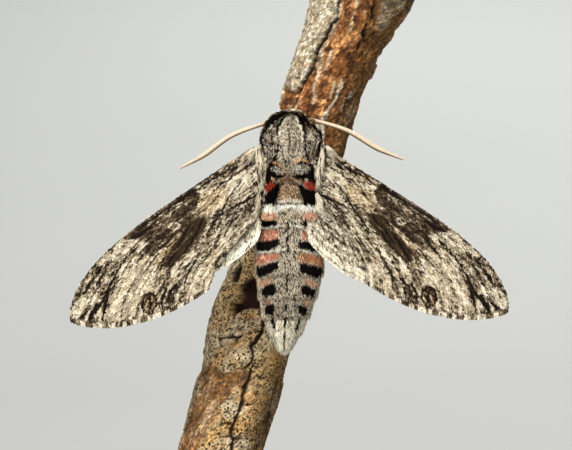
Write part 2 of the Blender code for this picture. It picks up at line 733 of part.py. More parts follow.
def make_leg(name, collection, pieces, thorax_cutter):
    """One jointed leg: hip, thigh, shin and foot, with spurs at the end of its shin and two claws on its toe."""
    leg = LEGS[name]
    root, hip, knee = (np.array([x + axis_x(along), y, WAIST_Z + along]) for x, y, along in leg["bones"])
    (ankle_along, ankle_turn), (toe_along, toe_turn) = leg["foot"]
    foot = []
    for share in np.linspace(0, 1, len(FOOT_RADII)):
        along = ankle_along + (toe_along - ankle_along) * share
        degrees = ankle_turn + (toe_turn - ankle_turn) * share
        lift = GAP + FOOT_RADII[0] + 0.2 * (1 - share)
        foot.append(perch_point(perch_height(along), math.radians(degrees), lift))
    ankle, toe = foot[0], foot[-1]
    shin = (ankle - knee) / np.linalg.norm(ankle - knee)

    obj = closed_tube(name, straight(root, hip + (hip - root) * 0.12, HIP_RADII), HIP_RADII, 2, "leg", collection)
    closed_tube(f"{name}_thigh", straight(hip, knee, THIGH_RADII), THIGH_RADII, 2, None, pieces)
    closed_tube(f"{name}_shin", straight(knee - shin * 0.2, ankle, SHIN_RADII), SHIN_RADII, 2, None, pieces)
    closed_tube(f"{name}_foot", [ankle - shin * 0.3, *foot[1:]], FOOT_RADII, 2, None, pieces)

    aside = np.cross(shin, [0.0, 0.0, 1.0])
    aside /= np.linalg.norm(aside)
    ahead = (toe - foot[-2]) / np.linalg.norm(toe - foot[-2])
    off_bark = perch_point(perch_height(toe_along), math.radians(toe_turn), 2.0) - toe
    off_bark /= np.linalg.norm(off_bark)
    across = np.cross(ahead, off_bark)
    for i in range(leg["spurs"]):
        spur_root = knee + (ankle - knee) * (0.93 - 0.3 * (i // 2))
        tip = spur_root + SPUR_LENGTH * (0.8 * shin + aside * (0.5 if i % 2 else -0.5))
        cone_between(f"{name}_spur{i}", spur_root - shin * 0.2, tip, SPUR_RADIUS, pieces)
    for i, way in enumerate((-1, 1)):
        tip = toe + ahead * CLAW_LENGTH + across * way * 0.45 + off_bark * 0.05
        cone_between(f"{name}_claw{i}", toe - ahead * 0.3, tip, FOOT_RADII[-1] * 0.9, pieces)
    join_pieces(obj, pieces)
    combine(obj, "DIFFERENCE", thorax_cutter)
    return obj


def straight(start, end, radii):
    """Points evenly along a straight line, one for each radius."""
    return [start + (end - start) * share for share in np.linspace(0, 1, len(radii))]


def join_pieces(obj, pieces):
    """Joins every closed mesh of a collection to the object, and removes those meshes."""
    union = obj.modifiers.new("union", "BOOLEAN")
    union.operation = "UNION"
    union.solver = "EXACT"
    union.operand_type = "COLLECTION"
    union.collection = pieces
    mesh = applied(obj)
    obj.modifiers.clear()
    obj.data = mesh
    for piece in list(pieces.objects):
        bpy.data.objects.remove(piece)


def main():
    clear_scene()
    model = new_collection("hawk_moth")
    cutters = new_collection("cutters")
    pieces = new_collection("pieces")

    make_base(model)
    make_rod(model)
    make_perch(model)

    thorax_rings, head_rings = even_rings(THORAX, 17), even_rings(HEAD, 13)
    thorax = body_form("thorax", THORAX, THORAX_SQUARENESS, thorax_rings, 28, "coat", model, thorax_rise)
    thorax_cutter = as_cutter(
        body_form("thorax_space", THORAX, THORAX_SQUARENESS, thorax_rings, 28, None, cutters, thorax_rise, GAP)
    )
    head = body_form("head", HEAD, BODY_SQUARENESS, head_rings, 22, "coat", model)
    head_cutter = as_cutter(body_form("head_space", HEAD, BODY_SQUARENESS, head_rings, 22, None, cutters, grow=GAP))
    combine(head, "DIFFERENCE", thorax_cutter)
    abdomen = body_form("abdomen", ABDOMEN, BODY_SQUARENESS, abdomen_rings(), 26, "coat", model, tergite_rise)
    combine(abdomen, "DIFFERENCE", thorax_cutter)
    abdomen_cutter = as_cutter(
        body_form("abdomen_space", ABDOMEN, BODY_SQUARENESS, abdomen_rings(), 26, None, cutters, tergite_rise, GAP)
    )

    for side in ("left", "right"):
        make_eye(side, model)
        eye_space = as_cutter(make_eye(side, cutters, GAP, None))
        combine(head, "DIFFERENCE", eye_space)
        combine(thorax, "DIFFERENCE", eye_space)
        make_palp(side, model, head_cutter)
        make_feeler(side, model, head_cutter)
    make_tongue(model, head_cutter)
    for name in WING_SEATS:
        make_wing(name, model, (thorax_cutter, abdomen_cutter))
    for name in LEGS:
        make_leg(name, model, pieces, thorax_cutter)


main()
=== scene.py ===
# %% [markdown]
# # A convolvulus hawk-moth at rest on a branch
# The CAD model has the true sizes and the plain forms: body, wings, legs, feelers, branch and stand. This
# lesson dresses it. A moth is covered with scales and hairs, so nearly every surface here is a thin skin
# with thousands of small solid pieces lying on it, each with the colour that the moth's markings have at
# its place. Lengths are in millimetres until a mesh is made, +Z is towards the moth's head, and its back
# faces -Y.

import math

import bmesh
import bpy
import numpy as np
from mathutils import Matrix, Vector


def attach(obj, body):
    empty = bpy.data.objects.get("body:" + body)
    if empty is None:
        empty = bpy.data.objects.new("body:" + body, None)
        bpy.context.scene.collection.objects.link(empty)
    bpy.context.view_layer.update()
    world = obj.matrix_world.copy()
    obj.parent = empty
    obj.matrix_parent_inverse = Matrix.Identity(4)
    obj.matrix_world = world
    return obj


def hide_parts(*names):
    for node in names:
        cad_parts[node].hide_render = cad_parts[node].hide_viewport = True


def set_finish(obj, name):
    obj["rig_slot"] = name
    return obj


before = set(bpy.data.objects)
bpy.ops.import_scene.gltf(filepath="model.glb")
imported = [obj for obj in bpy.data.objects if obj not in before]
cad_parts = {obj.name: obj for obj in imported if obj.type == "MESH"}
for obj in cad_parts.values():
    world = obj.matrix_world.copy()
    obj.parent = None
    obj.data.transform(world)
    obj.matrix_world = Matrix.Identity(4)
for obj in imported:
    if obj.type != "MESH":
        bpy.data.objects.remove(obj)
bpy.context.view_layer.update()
MM = 0.001
print("CAD nodes:", len(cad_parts))

# %% [markdown]
# ## Small tools
# Organic surfaces need irregularity that is the same each time the script runs. Blender's own noise works
# point by point, so this lesson has a value noise of its own that works on whole arrays: a fixed random
# number for each whole-numbered cell, blended smoothly between cells.

# %% Ramps, mixtures and noise


def unit(vectors):
    """Each vector divided by its length."""
    return vectors / np.maximum(np.linalg.norm(vectors, axis=-1, keepdims=True), 1e-12)


def beside(*values):
    """Numbers or arrays side by side: the last axis picks one of them."""
    return np.stack(np.broadcast_arrays(*values), axis=-1)


def ramp(low, high, value):
    """0 up to low, 1 from high on, and 3t^2 - 2t^3 between them."""
    t = np.clip((np.asarray(value, float) - low) / (high - low), 0, 1)
    return t * t * (3 - 2 * t)


def mixed(first, second, share):
    """first + share * (second - first), row by row."""
    return first + (np.asarray(second, float) - first) * np.asarray(share)[..., None]


def evenly(values, at):
    """Values that stand evenly from 0 to 1, read at a share."""
    return np.interp(at, np.linspace(0, 1, len(values)), values)

# %% Noise


def cell_value(cells, seed):
    """A fixed random number from 0 to 1 for each cell: its places times large primes, mixed bit by bit."""
    primes = np.array([73856093, 19349663, 83492791], np.int64)[: cells.shape[-1]]
    bits = (cells.astype(np.int64) * primes).sum(axis=-1) + seed * 7919
    bits = (bits ^ (bits >> 15)) * 2246822519
    bits = (bits ^ (bits >> 13)) * 3266489917
    return ((bits >> 16) & 0xFFFFF) / 0xFFFFF


def noise(places, seed=0, octaves=1):
    """Value noise from -1 to 1. Each further octave is twice as fine and half as strong."""
    total, strength, weight_sum = 0.0, 1.0, 0.0
    for octave in range(octaves):
        scaled = places * 2**octave
        low = np.floor(scaled).astype(np.int64)
        share = scaled - low
        share = share * share * (3 - 2 * share)
        value = 0.0
        for corner in np.ndindex(*(2,) * places.shape[-1]):
            weight = np.prod(np.where(corner, share, 1 - share), axis=-1)
            value = value + weight * cell_value(low + np.array(corner), seed + 31 * octave)
        total = total + strength * (value * 2 - 1)
        weight_sum += strength
        strength /= 2
    return total / weight_sum


def wobble(places, seed, octaves=1):
    """Two noises side by side, which shake a pair of numbers."""
    return beside(noise(places, seed, octaves), noise(places, seed + 1, octaves))


print("noise at three places:", noise(np.array([[0.2, 0.4], [3.1, 7.7], [5.5, 2.5]])).round(3))

# %% [markdown]
# ## From numbers to meshes
# A surface of two parameters is a grid of points, and its faces only join neighbours. Small pieces, such as
# a hair or a scale, are one shape copied many times: the shape is a few corners given as shares of the
# piece's length, width and height, and numpy places all copies at once. Each vertex carries its colour in
# an attribute named tint, so that skin and coat can share one painting.

# %% Meshes from arrays


def grid_faces(rows, columns, closed=False):
    """Triangles between neighbouring rows and columns, the last column joined to the first if closed."""
    row = np.arange(rows - 1)[:, None] * columns
    column = np.arange(columns if closed else columns - 1)[None, :]
    after = (column + 1) % columns
    quads = beside(row + column, row + after, row + columns + after, row + columns + column).reshape(-1, 4)
    return np.concatenate([quads[:, :3], quads[:, [0, 2, 3]]])

# %% One piece of the model


def make_piece(name, points, faces, finish, slot, tints=None, chart=None, smooth=True):
    """A mesh object from millimetre points and triangles; chart places the points on the OFBake map."""
    mesh = bpy.data.meshes.new(name)
    faces = np.ascontiguousarray(faces, np.int32)
    mesh.vertices.add(len(points))
    mesh.vertices.foreach_set("co", (np.asarray(points, float) * MM).astype(np.float32).ravel())
    mesh.loops.add(faces.size)
    mesh.loops.foreach_set("vertex_index", faces.ravel())
    mesh.polygons.add(len(faces))
    mesh.polygons.foreach_set("loop_start", np.arange(0, faces.size, 3, dtype=np.int32))
    mesh.update(calc_edges=True)
    if tints is not None:
        colours = np.ones((len(points), 4), np.float32)
        colours[:, :3] = np.clip(tints, 0.0, 1.0)
        mesh.attributes.new("tint", "FLOAT_COLOR", "POINT").data.foreach_set("color", colours.ravel())
    if chart is not None:
        spread = np.asarray(chart, np.float32)[faces.ravel()].ravel()
        mesh.uv_layers.new(name="OFBake").data.foreach_set("uv", spread)
    mesh.polygons.foreach_set("use_smooth", np.full(len(faces), smooth))
    mesh.materials.append(finish)
    obj = bpy.data.objects.new(name, mesh)
    bpy.context.scene.collection.objects.link(obj)
    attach(obj, "root")
    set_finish(obj, slot)
    print(name, len(faces), "triangles")
    return obj

# %% Normals and closed solids


def face_crosses(points, faces):
    """The cross product of two sides of each face: its direction is the normal, its length twice the area."""
    corners = points[faces]
    return np.cross(corners[:, 1] - corners[:, 0], corners[:, 2] - corners[:, 0])


def point_normals(points, faces):
    """The normal at each point: the sum of its faces' cross products, made one long."""
    total = np.zeros_like(points)
    for corner in range(3):
        np.add.at(total, faces[:, corner], face_crosses(points, faces))
    return unit(total)


def outward_faces(points, faces):
    """The faces, turned over if the solid's signed volume is negative."""
    corners = points[faces]
    volume = (corners[:, 0] * np.cross(corners[:, 1], corners[:, 2])).sum()
    return faces if volume > 0 else faces[:, ::-1]


def capped(rings, ends):
    """Rings of points closed at both ends by a point, with the faces turned outwards."""
    rows, sides = rings.shape[:2]
    spokes = np.arange(sides)
    after = (spokes + 1) % sides
    last = (rows - 1) * sides
    first_cap = beside(rows * sides, after, spokes)
    last_cap = beside(rows * sides + 1, last + spokes, last + after)
    points = np.concatenate([rings.reshape(-1, 3), ends])
    faces = np.concatenate([grid_faces(rows, sides, True), first_cap, last_cap])
    return points, outward_faces(points - points[0], faces)


def together(parts):
    """Several (points, faces, further values) as one."""
    starts = np.cumsum([0] + [len(part[0]) for part in parts])
    faces = np.concatenate([part[1] + start for part, start in zip(parts, starts)])
    points, _, *values = (np.concatenate(kind) for kind in zip(*parts))
    return points, faces, *values

# %% Places scattered on a mesh


def scatter(points, faces, count, seed, liking=None):
    """Random places on a mesh, as many on each face as its area and liking say: faces and corner shares."""
    dice = np.random.default_rng(seed)
    area = np.linalg.norm(face_crosses(points, faces), axis=1)
    if liking is not None:
        area = area * liking(points[faces].mean(axis=1))
    chosen = dice.choice(len(faces), count, p=area / area.sum())
    a, b = dice.random((2, count))
    beyond = a + b > 1
    a, b = np.where(beyond, 1 - a, a), np.where(beyond, 1 - b, b)
    return faces[chosen], beside(1 - a - b, a, b)


def read_at(values, corners, shares):
    """A value that each point has, read at scattered places: the corner shares times the corners' values."""
    return (values[corners] * shares[..., None]).sum(axis=1)


def flat_on(out, way):
    """A direction laid flat on a surface and made one long: way - (way . out) out."""
    return unit(way - (way * out).sum(axis=1, keepdims=True) * out)

# %% Shapes of one hair and one scale
# Each corner is (share of the length, share of the width, share of the height).
HAIR = {
    "corners": (
        (0, 0.5, 0), (0, -0.5, 0), (0, 0, 0.7), (0.5, 0.42, 0), (0.5, -0.42, 0), (0.5, 0, 0.7), (1, 0, 0.1),
    ),
    "faces": (
        (0, 1, 2), (1, 0, 3), (1, 3, 4), (2, 1, 4), (2, 4, 5), (0, 2, 5), (0, 5, 3), (4, 3, 6), (5, 4, 6),
        (3, 5, 6),
    ),
    "chart": ((-0.9, -0.9), (0.9, -0.9), (0, -0.4), (-0.7, 0.1), (0.7, 0.1), (0, 0.5), (0, 0.95)),
}
SCALE = {
    "corners": ((0, 0, 0), (0.5, 0.5, 0), (0.5, -0.5, 0), (1, 0.3, 0), (1, -0.3, 0), (0.55, 0, 1)),
    "faces": ((0, 1, 3), (0, 3, 4), (0, 4, 2), (0, 2, 5), (2, 4, 5), (4, 3, 5), (3, 1, 5), (1, 0, 5)),
    "chart": ((0, -0.9), (-0.8, 0), (0.8, 0), (-0.5, 0.8), (0.5, 0.8), (0, 0.1)),
}
CHART_SIZE = 0.0015
# Each coat piece runs from painted shade at its root (partly the darker base of a real hair) to a slightly
# lifted tip.
TIP_SHADE = 1.08
SHADE_RISE = 1.6

# %% Copies of one shape


def coat_path(coat, s):
    """The middle line of every piece at a share s of its length: it starts out lifted off the skin, and bends
    aside and back towards it by the square of s."""
    lie, out = coat["lie"], coat["out"]
    across = np.cross(out, lie)
    length, lift = coat["length"][:, None], coat["lift"][:, None]
    path = s * (np.cos(lift) * lie + np.sin(lift) * out)
    path = path + s * s * (coat["bend"][:, None] * across - coat["droop"][:, None] * out)
    return coat["root"] + length * path


def grow_coat(name, shape, coat, finish, slot):
    """Copies a shape to every root. A corner lies on its piece's middle line, plus its shares of the width
    across it and of the height off it. Colours are one per piece, or read where each corner lies; each colour
    is darker towards the root and a little lighter at the tip, partly the darker bases of real hairs and
    scales and partly painted shade where the coat shades its own roots."""
    corners, faces = np.array(shape["corners"], float), np.array(shape["faces"])
    count, size = len(coat["root"]), len(corners)
    across = np.cross(coat["out"], coat["lie"])
    points, tints = np.empty((2, count, size, 3))
    shade = coat["root_shade"]
    for level in np.unique(corners[:, 0]):
        line = coat_path(coat, level)
        colour = coat["colour_at"](line) if "colour_at" in coat else coat["tint"]
        for k in np.flatnonzero(corners[:, 0] == level):
            points[:, k] = line + coat["width"][:, None] * corners[k, 1] * across
            points[:, k] += coat["height"][:, None] * corners[k, 2] * coat["out"]
            # Painted shade: darker towards the root, a little lighter towards the tip.
            tints[:, k] = colour * (shade + (TIP_SHADE - shade) * min(level * SHADE_RISE, 1.0))
    chart = coat["chart"][:, None] + np.array(shape["chart"])[None] * CHART_SIZE
    points, tints, chart = (values.reshape(count * size, -1) for values in (points, tints, chart))
    faces = (faces[None] + np.arange(count)[:, None, None] * size).reshape(-1, 3)
    return make_piece(name, points, faces, finish, slot, tints, chart, smooth=False)


print("a hair has", len(HAIR["faces"]), "triangles and a scale", len(SCALE["faces"]))

# %% [markdown]
# ## Finishes
# Each finish is a Principled shader with its constant values on its own sockets. The coat's colour comes
# from the tint attribute, with a fine grain over it, because a real scale is streaked with ridges. Branch,
# stand and eyes add patterns of noise, waves and cells on Object coordinates, which stay where they are
# when the model turns.

# %% Finish tools


def new_finish(name, **sockets):
    """A material with one Principled shader; each keyword sets the socket of that name, _ for a space."""
    finish = bpy.data.materials.new(name)
    finish.use_nodes = True
    shader = finish.node_tree.nodes["Principled BSDF"]
    for key, value in sockets.items():
        shader.inputs[key.replace("_", " ")].default_value = value
    return finish, finish.node_tree, shader


def add_node(tree, kind, **values):
    """A shader node; each keyword sets a property, or the input of that name with _ for a space."""
    made = tree.nodes.new("ShaderNode" + kind)
    for key, value in values.items():
        if key.replace("_", " ") in made.inputs:
            made.inputs[key.replace("_", " ")].default_value = value
        else:
            setattr(made, key, value)
    return made


def object_place(tree, stretch=(1.0, 1.0, 1.0)):
    """Object coordinates through a Mapping node that stretches the pattern."""
    coordinates = add_node(tree, "TexCoord")
    mapping = add_node(tree, "Mapping", Scale=stretch)
    tree.links.new(coordinates.outputs["Object"], mapping.inputs["Vector"])
    return mapping.outputs["Vector"]


def noise_value(tree, place, scale, detail=2.0, roughness=0.5):
    made = add_node(tree, "TexNoise", Scale=scale, Detail=detail, Roughness=roughness)
    tree.links.new(place, made.inputs["Vector"])
    return made.outputs["Fac"]


def colour_steps(tree, value, steps):
    """A colour ramp: steps are (place, colour)."""
    made = add_node(tree, "ValToRGB")
    bar = made.color_ramp
    bar.elements[0].position, bar.elements[0].color = steps[0][0], (*steps[0][1], 1)
    bar.elements[1].position, bar.elements[1].color = steps[-1][0], (*steps[-1][1], 1)
    for place, colour in steps[1:-1]:
        bar.elements.new(place).color = (*colour, 1)
    tree.links.new(value, made.inputs["Fac"])
    return made.outputs["Color"]


def multiply_colour(tree, first, second, share=1.0):
    made = add_node(tree, "Mix", data_type="RGBA", blend_type="MULTIPLY")
    made.inputs[0].default_value = share
    tree.links.new(first, made.inputs[6])
    tree.links.new(second, made.inputs[7])
    return made.outputs[2]


def attribute_colour(tree):
    return add_node(tree, "Attribute", attribute_name="tint").outputs["Color"]


def bump_from(tree, shader, height, strength, distance):
    made = add_node(tree, "Bump", Strength=strength, Distance=distance)
    tree.links.new(height, made.inputs["Height"])
    tree.links.new(made.outputs["Normal"], shader.inputs["Normal"])

# %% Finishes of skin, hair and scales


def coat_finish(name, roughness, specular, grain, grain_size=(1.0, 1.0, 1.0)):
    """The tint times a fine grey grain, for skins, hairs and scales."""
    finish, tree, shader = new_finish(name, Roughness=roughness, Specular_IOR_Level=specular)
    grey = noise_value(tree, object_place(tree, grain_size), 5200.0, 2.0, 0.6)
    steps = colour_steps(tree, grey, ((0.3, (1 - grain,) * 3), (0.7, (1 + 0.3 * grain,) * 3)))
    tree.links.new(multiply_colour(tree, attribute_colour(tree), steps), shader.inputs["Base Color"])
    bump_from(tree, shader, grey, 0.3, 0.00004)
    return finish


skin_finish = coat_finish("body_skin", 0.85, 0.08, 0.3)
hair_finish = coat_finish("body_hair", 0.8, 0.04, 0.25)
membrane_finish = coat_finish("wing_membrane", 0.75, 0.1, 0.3)
scale_finish = coat_finish("wing_scales", 0.75, 0.06, 0.3)

# %% [markdown]
# ## Camera, light and floor
# The moth is seen square from its back, from about 60 centimetres, and fills a view 106 mm wide. The light
# is that of a bright hazy day: one large soft lamp above and in front, two weaker ones that fill the
# shadows, and one from behind that draws thin bright edges. The floor runs back into a wall in one curve.

# %% Camera and lights
VIEW_WIDTH = 105.93
VIEW_DISTANCE = 600.0
VIEW_HEIGHT = 69.8
VIEW_DEPTH = -8.0
PIXELS_PER_MM = 5.4

camera_data = bpy.data.cameras.new("camera")
camera_data.sensor_width = 36.0
camera_data.lens = 36.0 * VIEW_DISTANCE / VIEW_WIDTH
camera_data.clip_start, camera_data.clip_end = 0.02, 20.0
camera = bpy.data.objects.new("camera", camera_data)
camera.location = (0.0, (VIEW_DEPTH - VIEW_DISTANCE) * MM, VIEW_HEIGHT * MM)
camera.rotation_euler = (math.radians(90), 0.0, 0.0)
bpy.context.scene.collection.objects.link(camera)
bpy.context.scene.camera = camera
bpy.context.scene.view_settings.view_transform = "Standard"


def soft_lamp(name, place, size, watts, colour):
    """A square area lamp that points at the moth."""
    data = bpy.data.lights.new(name, "AREA")
    data.size, data.energy, data.color = size, watts, colour
    lamp = bpy.data.objects.new(name, data)
    lamp.location = place
    aim = Vector((0.0, 0.0, VIEW_HEIGHT * MM)) - Vector(place)
    lamp.rotation_euler = aim.to_track_quat("-Z", "Y").to_euler()
    bpy.context.scene.collection.objects.link(lamp)


soft_lamp("sky", (-0.2, -0.52, 0.75), 0.42, 12.0, (1.0, 0.97, 0.93))
soft_lamp("fill", (0.7, -0.6, 0.25), 0.8, 3.0, (0.92, 0.96, 1.0))
soft_lamp("front", (-0.35, -0.85, 0.08), 0.6, 4.5, (1.0, 0.98, 0.95))
soft_lamp("rim", (0.15, 0.7, 0.6), 0.6, 6.0, (1.0, 1.0, 1.0))
world = bpy.data.worlds.new("studio")
world.use_nodes = True
world.node_tree.nodes["Background"].inputs["Color"].default_value = (0.95, 0.97, 1.0, 1.0)
world.node_tree.nodes["Background"].inputs["Strength"].default_value = 0.4
bpy.context.scene.world = world
print("camera lens", round(camera_data.lens, 1), "mm")

# %% Floor
FLOOR_HALF = 1.8
FLOOR_BACK = 0.12
FLOOR_CURVE = 1.6
FLOOR_FRONT = -2.2
FLOOR_TOP = 2.8


def make_floor():
    """A level run, a quarter circle and an upright run, carried sideways."""
    turn = np.linspace(0, math.pi / 2, 48)
    curve_y = FLOOR_BACK + FLOOR_CURVE * np.sin(turn)
    curve_z = FLOOR_CURVE * (1 - np.cos(turn))
    y = np.concatenate([[FLOOR_FRONT], curve_y, [FLOOR_BACK + FLOOR_CURVE]])
    z = np.concatenate([[0.0], curve_z, [FLOOR_TOP]])
    x = np.linspace(-FLOOR_HALF, FLOOR_HALF, 3)
    points = beside(np.tile(x, len(y)), np.repeat(y, 3), np.repeat(z, 3)) / MM
    finish, tree, shader = new_finish("pale_floor", Roughness=0.85, Specular_IOR_Level=0.1)
    tone = noise_value(tree, object_place(tree), 3.0)
    steps = colour_steps(tree, tone, ((0.3, (0.33, 0.335, 0.32)), (0.7, (0.36, 0.365, 0.35))))
    tree.links.new(steps, shader.inputs["Base Color"])
    floor = make_piece("floor", points, grid_faces(len(y), 3), finish, "base")
    del floor["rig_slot"]


make_floor()

# %% [markdown]
# ## The moth's paint
# The markings are the moth's own drawing, and skin, hair and scales must all agree on it. So they are
# painted once, as functions that take places and give colours. A mark is a bent line with a width, or a
# closed outline with a soft edge. The places of the marks are read off the photograph, in its pixels, and
# every place on the model is turned into the same pixels first: 5.4 to a millimetre, from the picture's
# middle.

# %% Drawing tools
PICTURE_MIDDLE = (286.0, 225.0)
WAIST_Z = 77.9
MARK_MARGIN = 8.0
LINE_GROWTH = 1.12
LINE_EDGE = 0.1


def picture_place(points):
    """The photograph's pixel for places in millimetres: things nearer to the camera look larger."""
    x, y, z = np.moveaxis(points, -1, 0)
    scale = PIXELS_PER_MM * VIEW_DISTANCE / (VIEW_DISTANCE + y - VIEW_DEPTH)
    return beside(PICTURE_MIDDLE[0] + x * scale, PICTURE_MIDDLE[1] - (z - VIEW_HEIGHT) * scale)

# %% Lines and patches


def nearest_on(spots, line):
    """How far each spot is from a bent line, and at which share of its length the line is nearest."""
    ways = np.diff(line, axis=0)
    steps = np.linalg.norm(ways, axis=1)
    reach = np.concatenate([[0.0], np.cumsum(steps)]) / steps.sum()
    best, share = np.full(len(spots), 1e9), np.zeros(len(spots))
    for k, way in enumerate(ways):
        t = np.clip(((spots - line[k]) @ way) / (way @ way), 0, 1)
        gap = np.linalg.norm(spots - line[k] - t[:, None] * way, axis=1)
        nearer = gap < best
        best = np.where(nearer, gap, best)
        share = np.where(nearer, reach[k] + (reach[k + 1] - reach[k]) * t, share)
    return best, share


def line_mark(spots, line, width, soft=0.45):
    """1 near a bent line, 0 beyond half its width, which is one number or several along the line."""
    gap, share = nearest_on(spots, line)
    half = LINE_GROWTH * evenly(np.atleast_1d(width), share) / 2 + LINE_EDGE
    return 1 - ramp(-soft, soft, gap - half)


def patch_mark(spots, outline, soft):
    """1 inside a closed outline, 0 outside, with a soft edge: the distance to the outline, signed by a count
    of how many of its sides a line to the left crosses."""
    closed = np.concatenate([outline, outline[:1]])
    gap, _ = nearest_on(spots, closed)
    inside = np.zeros(len(spots), bool)
    for a, b in zip(closed, closed[1:]):
        crosses = (a[1] > spots[:, 1]) != (b[1] > spots[:, 1])
        rise = b[1] - a[1] if b[1] != a[1] else 1e-9
        inside ^= crosses & (spots[:, 0] < a[0] + (spots[:, 1] - a[1]) * (b[0] - a[0]) / rise)
    return ramp(-soft, soft, np.where(inside, gap, -gap))


def cover(spots, kind, mark, *soft):
    """How much of each spot a mark covers. A mark is its width or its edge's softness, then its places as
    x, y, x, y and so on."""
    places = np.reshape(mark[1:], (-1, 2)).astype(float)
    return (line_mark if kind == "line" else patch_mark)(spots, places, mark[0], *soft)

# %% Paints laid over one another


def painted(paints, spots, marks):
    """Marks laid over the paints in turn: each group of marks has one kind and one paint."""
    for kind, paint, *group in marks:
        for mark in group:
            places = np.reshape(mark[1:], (-1, 2))
            low, high = places.min(axis=0) - MARK_MARGIN, places.max(axis=0) + MARK_MARGIN
            near = np.all((spots > low) & (spots < high), axis=1)
            paints[near] = mixed(paints[near], PAINT[paint], cover(spots[near], kind, mark))
    return paints


def layered(table, base, *layers):
    """Colours laid over a base in turn, as (colour, share); a name stands for that row of the table."""
    base = table[base] if isinstance(base, str) else base
    for colour, share in layers:
        base = mixed(base, table[colour] if isinstance(colour, str) else colour, share)
    return base


def order_of(values):
    """Each value's place in the order of all of them, from 0 for the least to 1 for the greatest."""
    order = np.empty(len(values))
    order[np.argsort(values)] = np.linspace(0, 1, len(values))
    return order


def dusted(paints, order):
    """The colour of single scales: the darkest share of them nearly black, the palest share whitish, and the
    rest the paint's own colour, lighter from one to the next."""
    base, dark, pale = paints[:, :3], paints[:, 3], paints[:, 4]
    tints = base * (0.6 + 0.8 * order)[:, None]
    cream = np.minimum(base * 0.75 + np.array((0.44, 0.405, 0.33)), 0.92)
    tints = mixed(tints, cream, ramp(1 - pale - 0.05, 1 - pale + 0.05, order) * (pale > 0.01))
    return mixed(tints, (0.018, 0.011, 0.006), ramp(dark + 0.05, dark - 0.05, order) * (dark > 0.01))

# %% Paints
# A paint is its colour, then the shares of nearly black and of whitish scales in it.
PAINT = {
    "white": (0.9, 0.86, 0.74, 0.0, 0.1),
    "ivory": (0.96, 0.86, 0.64, 0.08, 0.4),
    "cream": (0.68, 0.605, 0.46, 0.05, 0.25),
    "pale": (0.43, 0.365, 0.25, 0.15, 0.28),
    "ash": (0.27, 0.215, 0.14, 0.44, 0.38),
    "grey": (0.3, 0.244, 0.162, 0.3, 0.2),
    "hoary": (0.43, 0.36, 0.25, 0.33, 0.46),
    "frost": (0.39, 0.325, 0.223, 0.24, 0.26),
    "stone": (0.22, 0.168, 0.105, 0.38, 0.18),
    "panel": (0.17, 0.13, 0.085, 0.46, 0.24),
    "soot": (0.003, 0.002, 0.0015, 0.0, 0.0),
    "line": (0.008, 0.005, 0.003, 0.0, 0.0),
    "brown": (0.36, 0.215, 0.105, 0.28, 0.14),
    "umber": (0.11, 0.07, 0.038, 0.3, 0.06),
    "cloud": (0.075, 0.048, 0.026, 0.58, 0.02),
    "olive": (0.032, 0.02, 0.009, 0.08, 0.0),
    "tan": (0.355, 0.262, 0.15, 0.24, 0.15),
    "tan_dark": (0.26, 0.175, 0.098, 0.34, 0.1),
    "buff": (0.46, 0.377, 0.253, 0.08, 0.22),
    "gold": (0.15, 0.084, 0.034, 0.42, 0.08),
    "orange": (0.68, 0.36, 0.18, 0.0, 0.1),
    "rose": (0.52, 0.205, 0.112, 0.06, 0.1),
    "rose_pale": (0.54, 0.29, 0.175, 0.04, 0.12),
    "rust": (0.46, 0.2, 0.085, 0.05, 0.1),
    "red": (0.27, 0.03, 0.013, 0.28, 0.0),
    "eye_grey": (0.35, 0.32, 0.265, 0.32, 0.34),
}
print(len(PAINT), "paints")

# %% [markdown]
# ## Markings of the body
# The thorax has a grey wedge edged with white and black, dark side panels, and two tufts with the look of
# eyes at its rear. Behind it is a brown saddle between black patches, then the rings of the abdomen, each
# with a white front edge, a rose bar and a black bar on either side of a grey stripe.

